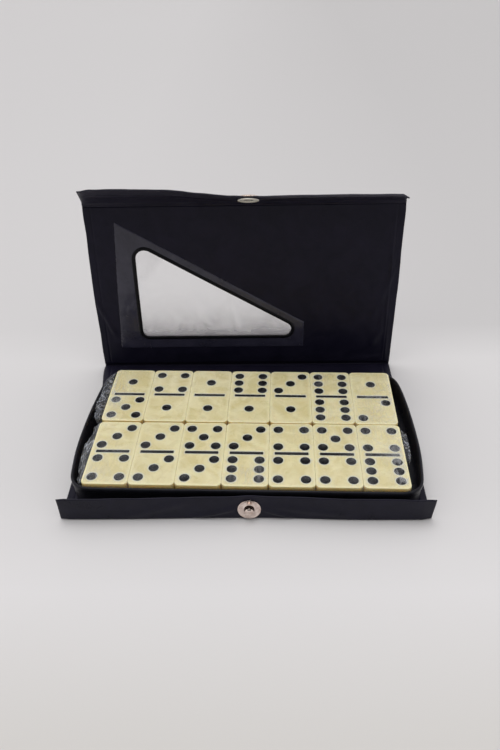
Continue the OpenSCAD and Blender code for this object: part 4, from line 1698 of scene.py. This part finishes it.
@dataclass
class ShrinkFilm:
    """The film round each pack, and the gathered tails at its ends."""

    frame: TrayFrame
    wardrobe: Wardrobe
    half_length: float = 84.42
    half_depth: float = 24.02
    low: float = 2.82
    high: float = 17.16
    corner: float = 2.4
    offset: float = 24.15

    def box_grid(self, step: float) -> tuple[Array, Faces]:
        """A box of quads about step wide, eight of them high."""
        nx, ny, nz = round(2 * self.half_length / step), round(2 * self.half_depth / step), 8
        keys: dict[tuple[int, int, int], int] = {}
        places: list[Point] = []
        faces: Faces = []

        def corner(i: int, j: int, k: int) -> int:
            """Number of the vertex at grid place (i, j, k)."""
            if (i, j, k) not in keys:
                keys[(i, j, k)] = len(places)
                places.append((-self.half_length + 2 * self.half_length * i / nx,
                               -self.half_depth + 2 * self.half_depth * j / ny,
                               self.low + (self.high - self.low) * k / nz))
            return keys[(i, j, k)]

        def quad(*corners: tuple[int, int, int]) -> None:
            """Adds the face between four grid places."""
            faces.append([corner(*place) for place in corners])

        for i in range(nx):
            for j in range(ny):
                quad((i, j, nz), (i + 1, j, nz), (i + 1, j + 1, nz), (i, j + 1, nz))
                quad((i, j, 0), (i, j + 1, 0), (i + 1, j + 1, 0), (i + 1, j, 0))
        for k in range(nz):
            for i in range(nx):
                quad((i, 0, k), (i + 1, 0, k), (i + 1, 0, k + 1), (i, 0, k + 1))
                quad((i, ny, k), (i, ny, k + 1), (i + 1, ny, k + 1), (i + 1, ny, k))
            for j in range(ny):
                quad((0, j, k), (0, j, k + 1), (0, j + 1, k + 1), (0, j + 1, k))
                quad((nx, j, k), (nx, j + 1, k), (nx, j + 1, k + 1), (nx, j, k + 1))
        return np.array(places), faces

    def wrap(self, pack: int) -> bpy.types.Object:
        """The close-fitting film of one pack."""
        points, faces = self.box_grid(1.25)
        size = np.array([self.half_length, self.half_depth, (self.high - self.low) / 2])
        centre = np.array([0, 0, (self.high + self.low) / 2])
        round_by = np.array([self.corner, self.corner, 0.9])
        local = points - centre
        core = np.clip(local, -(size - round_by), size - round_by)
        away = (local - core) / round_by
        norm = np.linalg.norm(away, axis=1)
        away = np.where(norm[:, None] > 1e-9, away / np.maximum(norm, 1e-9)[:, None], 0)
        points = centre + core + away * round_by
        x, y = points[:, 0], points[:, 1]
        top = smooth(points[:, 2], self.high - 0.6, self.high - 0.05)
        fine, slow = Wander(31 + pack, 5.0, 2.2), Wander(41 + pack, 17.0)
        ends = smooth(np.abs(x), 52, 84)
        cloud = np.clip(0.5 + 0.9 * Wander(51 + pack, 11.0, 0.7)(x, y), 0, 1)
        # Where each film is creased and milky: partly the film's own whitening, partly painted sheen over
        # the tiles, most towards its ends.
        if pack == 0:
            region = 0.75 * smooth(x, 52, 84) + 0.3 * (1 - smooth(x, -84, -60))
            region += blotches(x, y, (0.45, 3, 9, -17, 8), (0.6, 28, 12, -13, 9), (0.25, -42, 14, -16, 7),
                               (0.35, 36, 16, 14, 7))
            # Milky patches over the tiles: partly the film's own milkiness, partly painted glare.
            haze = blotches(x, y, (0.05, 60, 9, 12, 12), (0.06, 60, 7, -8, 9), (0.05, 4, 10, -16, 9))
            haze += 0.025 * (1 - smooth(x, -70, -20)) + 0.02 * smooth(-y, 2, 20)
        else:
            region = 0.5 * smooth(x, 50, 84) + 0.3 * hump(x, 44, 10) + 0.75 * (1 - smooth(x, -84, -66))
            region += blotches(x, y, (0.2, -30, 12, 4, 10))
            haze = blotches(x, y, (0.1, -79, 5, -9, 12), (0.03, -54, 10, 12, 10))
            # Painted highlights: bright rims along the pack's ends, where the film's folds catch the light.
            haze += 0.012 * smooth(x, 30, 60) + 0.22 * smooth(x, 82.2, 83.6)
            haze += 0.3 * smooth(-x, 81.2, 83.4) * smooth(y, -4, 6)
        haze = 0.002 + haze * (0.45 + cloud)
        crease = np.clip(region * (0.55 + 0.75 * slow(x, y)), 0, 1) * top
        crease += (1 - top) * (0.25 + 0.5 * ends)
        points[:, 2] += top * (0.05 + crease * 0.3 * np.abs(fine(x + 0.6 * y, y)))
        points[:, 1] += (2 * pack - 1) * self.offset
        made = piece("pack_film_back" if pack else "pack_film_front",
                     carry(self.frame.matrix() @ self.frame.pack(pack), points), faces,
                     [self.wardrobe[Finish.WRAP]])
        store(made, "crease", np.clip(crease, 0, 1))
        store(made, "haze", haze * top)
        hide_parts("film_back" if pack else "film_front")
        return made

    def tail(self, name: str, side: int, y0: float, y1: float, rails: Loop, rough: float, seed: int,
             body: str, finish: Finish = Finish.TAIL) -> bpy.types.Object:
        """A gathered tail of film at one end of a pack.

        Args:
            name: name of the piece.
            side: -1 for the left end, 1 for the right.
            y0: front end of the tail in the tray's frame.
            y1: back end.
            rails: (outwards, height) of the tail's section, from the pack's end.
            rough: how far the creases stand out.
            seed: seed of the creases.
            body: the body it rides on.
            finish: finish of the film.

        Returns:
            The tail as a thin closed sheet.
        """
        rows = max(12, round((y1 - y0) / 0.7))
        rail = np.array(rails, float)
        steps = np.concatenate([[0], np.cumsum(np.hypot(*np.diff(rail, axis=0).T))])
        t = np.linspace(0, steps[-1], max(10, round(steps[-1] / 0.6)))
        section = np.column_stack([np.interp(t, steps, rail[:, 0]), np.interp(t, steps, rail[:, 1])])
        ys = np.linspace(y0, y1, rows)
        grid_y, grid_t = np.meshgrid(ys, t, indexing="ij")
        out = np.tile(section[:, 0], (rows, 1))
        z = np.tile(section[:, 1], (rows, 1))
        big, small, tiny = Wander(seed, 5.5, 1.0), Wander(seed + 1, 2.3, 1.6), Wander(seed + 2, 1.2)
        fade = smooth(grid_t, 0, 1.5) * smooth(grid_y, y0, y0 + 3) * (1 - smooth(grid_y, y1 - 4, y1))
        ridge = 1 - 2 * np.abs(small(grid_y, grid_t * 0.6))
        out = out * (0.8 + 0.35 * big(grid_y, grid_t * 0)) * (0.35 + 0.65 * fade)
        out += rough * fade * (0.5 * big(grid_y + 30, grid_t) + 0.4 * ridge + 0.08 * tiny(grid_y, grid_t))
        z = z + rough * fade * (0.6 * big(grid_y, grid_t + 50) + 0.4 * ridge)
        round_corner = 10.0 - np.sqrt(np.maximum(100 - np.maximum(np.abs(grid_y) - 38.8, 0) ** 2, 0))
        room = 6.6 - 2.2 * (grid_y / 40) ** 2 - round_corner
        out = np.clip(out, 0.05, np.maximum(room, 0.1))
        x = side * (self.half_length + out)
        upper = np.column_stack([x.ravel(), grid_y.ravel(), z.ravel()])
        made = piece(name, carry(self.frame.matrix(), upper), sheet_faces(rows, len(t)),
                     [self.wardrobe[finish]])
        # Crease mask of the tail: a soft milky share plus thin lines on the crinkles' ridges that are
        # painted highlights.
        sharp = np.clip(1 - 2.2 * np.abs(small(grid_y, grid_t * 0.6)), 0, 1) ** 2
        soft = 0.25 + 0.35 * np.clip(0.5 + big(grid_y + 90, grid_t * 0.7), 0, 1)
        store(made, "crease", np.clip(soft + 0.6 * sharp, 0, 1).ravel() * (0.5 + 0.5 * fade.ravel()))
        thick = made.modifiers.new("Film", "SOLIDIFY")
        thick.thickness = 0.00005
        thick.offset = 0.0
        settle(made)
        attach(made, body)
        return made

    def build(self) -> list[bpy.types.Object]:
        """Makes both wraps and their tails."""
        made = []
        for pack, body in enumerate(("front_pack", "back_pack")):
            wrap = self.wrap(pack)
            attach(wrap, body)
            made.append(wrap)
        back_left = [(0, 15.2), (2.5, 17.0), (5.4, 17.2), (7.4, 15.2), (6.4, 12.0), (4.0, 9.0), (4.4, 5.0)]
        front_left = [(0, 14.8), (3.4, 14.2), (6.6, 12.8), (8.2, 9.5), (8.2, 5.5)]
        front_right = [(0, 15.0), (1.8, 15.6), (3.4, 14.6), (3.8, 12.6), (3.0, 10.0)]
        made += [self.tail("film_tail_back_left", -1, 2, 46, back_left, 0.9, 61, "back_pack"),
                 self.tail("film_tail_front_left", -1, -45, 3, front_left, 0.3, 71, "front_pack",
                           Finish.STRAND),
                 self.tail("film_tail_front_right", 1, -27, -2, front_right, 0.5, 81, "front_pack")]
        return made


@dataclass
class Snap:
    """The snap fastener: stud and rivet on the flap, socket, spring and cap on the lip."""

    profile: CaseProfile
    wardrobe: Wardrobe
    sweep: Sweep
    shift: float = SNAP_X
    stud_z: float = 7.0
    STUD = ((0.0, 1.6), (1.2, 1.6), (1.2, 0.0), (5.85, 0.0), (6.0, 0.14), (5.98, 0.34), (5.78, 0.5),
            (5.5, 0.46), (5.2, 0.3), (4.3, 0.26), (3.5, 0.28), (3.15, 0.42), (2.9, 0.52), (2.6, 0.5),
            (2.2, 0.42), (1.85, 0.6), (1.75, 1.0), (1.75, 1.7), (1.9, 2.0), (2.3, 2.2), (2.42, 2.4),
            (2.4, 2.55), (2.2, 2.75), (1.7, 3.0), (1.5, 3.03), (1.3, 2.97), (0.0, 2.9))
    RIVET = ((0.0, -1.1), (1.1, -1.1), (1.1, 0.9), (4.4, 0.9), (4.5, 1.0), (4.3, 1.2), (3.4, 1.26),
             (0.0, 1.2))
    CAP = ((2.95, 0.0), (6.2, 0.0), (6.5, 0.15), (6.48, 0.45), (6.1, 0.85), (5.2, 1.2), (3.8, 1.42),
           (2.0, 1.5), (0.0, 1.52), (0.0, 1.05), (3.6, 1.0), (2.95, 0.4))
    SOCKET = ((2.6, 0.0), (2.85, 0.0), (2.85, 0.85), (5.7, 0.85), (6.0, 0.95), (6.12, 1.12), (6.0, 1.32),
              (5.6, 1.5), (5.0, 1.62), (4.2, 1.66), (3.5, 1.62), (3.0, 1.5), (2.75, 1.3), (2.6, 0.9))
    CUP = ((0.0, -1.04), (2.6, -1.04), (2.6, -0.98), (0.0, -0.98))

    def spin(self, name: str, section: Sequence[tuple[float, float]], frame: Matrix, finish: Finish,
             soot: tuple[float, float] = (0.0, 0.0), count: int = 72) -> bpy.types.Object:
        """Turns a closed section (radius, height) round its axis.

        Args:
            name: name of the piece.
            section: closed section; a radius of 0 lies on the axis.
            frame: where the axis stands, in millimetres.
            finish: finish of the piece.
            soot: heights between which its narrow part gets painted shade.
            count: faces round.

        Returns:
            The turned piece.
        """
        fine: Loop = []
        for (r0, z0), (r1, z1) in zip(section, [*section[1:], section[0]]):
            fine += [(r0 * 0.94 + r1 * 0.06, z0 * 0.94 + z1 * 0.06),
                     (r0 * 0.06 + r1 * 0.94, z0 * 0.06 + z1 * 0.94)]
        rings = [at_height(circle((0, 0), max(r, 0.004), count), z) for r, z in fine]
        points, faces = loft(rings, closed=True)
        made = piece(name, carry(frame, points), faces, [self.wardrobe[finish]])
        # Painted shade in the narrow neck between the given heights, where the light does not reach.
        low, high = soot
        dark = smooth(points[:, 2], low, low + 0.15) * (1 - smooth(points[:, 2], high, high + 0.2))
        narrow = 1 - smooth(np.hypot(points[:, 0], points[:, 1]), 2.5, 2.95)
        store(made, "soot", dark * narrow * (high > low))
        outwards(made)
        return made

    def build(self) -> list[bpy.types.Object]:
        """Makes the parts on their two bodies."""
        p = self.profile
        up = self.stud_z - p.line
        ahead = p.flap_frame() @ Matrix.Translation((0.15 - self.shift, up - 0.3, -0.55))
        behind = p.flap_frame() @ Matrix.Translation((-self.shift, up, -0.3))
        lip = p.lip_frame() @ Matrix.Translation((self.shift - 0.05, SNAP_UP + 0.23, 0))
        tilt = Matrix.Translation((0, 0, 0.65)) @ turned(-LIP_TILT, "X") @ Matrix.Translation((0, 0, -0.9))
        # The stud's neck and the socket's bore get painted shade.
        made = [self.spin("stud", self.STUD, ahead @ turned(180 + FLAP_TILT, "X"), Finish.NICKEL,
                          (0.3, 2.05)),
                self.spin("rivet", self.RIVET, behind, Finish.NICKEL),
                self.spin("cap", self.CAP, lip @ tilt @ turned(180, "X"), Finish.NICKEL),
                # The socket wears the whiter, painted-bright nickel.
                self.spin("socket", self.SOCKET, lip @ tilt, Finish.SATIN, (-0.3, 1.45))]
        arc = [(2.25 * math.cos(a), 2.25 * math.sin(a), 0) for a in np.radians(np.linspace(20, 340, 49))]
        spring = self.sweep.run("spring", np.array(arc), circle((0, 0), 0.25, 10),
                                self.wardrobe[Finish.WIRE], closed=False)
        frame = lip @ tilt @ Matrix.Translation((0, 0, 0.8))
        frame.translation *= MM
        spring.data.transform(frame)
        outwards(spring)
        made.append(spring)
        cup = self.spin("socket_cup", self.CUP, lip @ tilt, Finish.BRASS)
        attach(cup, "lip")
        facts = (("snap_stud", "nickel", "flap"), ("stud_rivet", "nickel", "flap"),
                 ("snap_cap", "nickel", "lip"), ("snap_socket", "nickel", "lip"),
                 ("socket_spring", "spring_wire", "lip"))
        for part, (node, slot, body) in zip(made, facts):
            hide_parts(node)
            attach(part, body)
        return made


@dataclass
class Studio:
    """Pale floor with painted light and shade on it, soft light and the camera."""

    floor_colour: Colour = srgb(217, 215, 216)
    azimuth: float = 1.41
    elevation: float = 37.23
    roll: float = -1.31
    distance: float = 431.69
    target: Point = (1.11, 65.70, 0.0)
    lens: float = 31.26
    floor_half: float = 9000.0
    floor_height: float = -0.02

    def floor(self) -> bpy.types.Object:
        """A wide pale floor, faintly clouded, with a painted pool of light in front of the case and painted
        shade behind it and towards the near edge.
        """
        s = Shader("studio_floor", Specular_IOR_Level=0.1)
        place = s.coords()
        cloud = s.add("TexNoise", None, Vector=place, Scale=0.8, Detail=2.0)
        where = s.add("SeparateXYZ", None, Vector=place)
        # Painted shade on the floor behind the case, a twentieth to a seventh darker, more towards the
        # right.
        far = s.maths("MULTIPLY", s.span(where.outputs[1], 0, 1, 0.084, 0.125),
                      s.span(where.outputs[0], 0.05, 0.15, -0.15, 0.2))
        colour = s.blend_colour(cloud.outputs[0], self.floor_colour, srgb(214, 212, 212))
        colour = s.blend_colour(far, colour, srgb(30, 29, 27))
        # Painted light: a paler band on the floor in front of the case.
        colour = s.blend_colour(s.span(where.outputs[1], 0.5, 0, -0.1, -0.03), colour, srgb(226, 224, 225))
        # Painted shade: darker and warmer towards the near edge of the floor.
        near = s.span(where.outputs[1], 0.95, 0, -0.2, -0.1)
        s.set(Base_Color=s.blend_colour(near, colour, srgb(200, 197, 192)))
        s.set(Roughness=0.75)
        corners = self.floor_half * np.array([(-1, -1), (1, -1), (1, 1), (-1, 1)])
        ground = piece("floor", at_height(corners, self.floor_height), [[0, 1, 2, 3]], [s.material],
                       flat=True)
        return ground

    def lamp(self, name: str, place: Point, size: float, watts: float, aim: Point) -> None:
        """A square soft lamp, in metres.

        Args:
            name: the lamp's name.
            place: where it hangs.
            size: length of its side.
            watts: its power.
            aim: the point it shines at.
        """
        light = bpy.data.lights.new(name, "AREA")
        light.size = size
        light.energy = watts
        turn = (Vector(aim) - Vector(place)).to_track_quat("-Z", "Y").to_matrix().to_4x4()
        put(name, light).matrix_world = Matrix.Translation(place) @ turn

    def camera(self) -> None:
        """The camera at the photograph's angle."""
        a, e, r = (math.radians(v) for v in (self.azimuth, self.elevation, self.roll))
        back = Vector((math.sin(a) * math.cos(e), -math.cos(a) * math.cos(e), math.sin(e)))
        right = (-back).cross(Vector((0, 0, 1))).normalized()
        up = right.cross(-back)
        across = right * math.cos(r) + up * math.sin(r)
        over = -right * math.sin(r) + up * math.cos(r)
        place = Vector(self.target) + back * self.distance
        data = bpy.data.cameras.new("camera")
        data.lens = self.lens
        data.sensor_width = 36.0
        data.clip_start = 0.01
        data.clip_end = 50.0
        turn = Matrix((across, over, back)).transposed().to_4x4()
        holder = put("camera", data)
        holder.matrix_world = Matrix.Translation(place * MM) @ turn
        bpy.context.scene.camera = holder

    def build(self) -> list[bpy.types.Object]:
        """Sets up the floor, the lamps, the world and the camera."""
        world = bpy.data.worlds.new("studio")
        world.use_nodes = True
        n = Nodes(world.node_tree)
        toward = n.add("VectorMath", {"operation": "DOT_PRODUCT"})
        n.feed(toward.inputs[0], n.add("TexCoord").outputs["Generated"])
        n.feed(toward.inputs[1], (0.02, -0.78, 0.625))
        shade = n.add("MapRange", {"interpolation_type": "SMOOTHSTEP"}, Value=toward.outputs["Value"],
                      From_Min=0.74, From_Max=0.91, To_Min=0.82, To_Max=0.05)
        sky = n.tree.nodes["Background"].inputs
        n.feed(sky["Color"], (1.0, 0.99, 0.99, 1.0))
        n.feed(sky["Strength"], shade.outputs[0])
        bpy.context.scene.world = world
        sun = bpy.data.lights.new("overhead", "SUN")
        sun.energy = 0.95
        sun.angle = math.radians(38)
        turn = Vector((-0.12, 0.1, 1.0)).to_track_quat("Z", "Y").to_matrix().to_4x4()
        put("overhead", sun).matrix_world = turn
        self.lamp("pool", (0.05, -0.35, 0.85), 0.35, 0.7, (0.0, -0.08, 0.0))
        self.camera()
        return [self.floor()]


def main() -> None:
    """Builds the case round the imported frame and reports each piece."""
    logging.basicConfig(level=logging.INFO, format="%(name)s: %(message)s")
    bpy.context.scene.view_settings.view_transform = "Standard"
    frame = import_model()
    wardrobe = Wardrobe()
    profile, window, tray_frame, sweep = CaseProfile(), Window(), TrayFrame(), Sweep()
    for node in ("base_board", "spine_board", "lid_board"):
        mesh = frame["nodes"][node].data
        mesh.materials.clear()
        mesh.materials.append(wardrobe[Finish.BOARD])
    sheets = Sheets(profile, window, wardrobe)
    for part in (Studio(), sheets, LidWindow(profile, window, wardrobe, sweep, sheets),
                 Tray(tray_frame, wardrobe), Dominoes(tray_frame, wardrobe),
                 ShrinkFilm(tray_frame, wardrobe), Snap(profile, wardrobe, sweep)):
        for made in part.build():
            LOG.info("%s: %d faces", made.name, len(made.data.polygons))


if __name__ == "__main__":
    main()
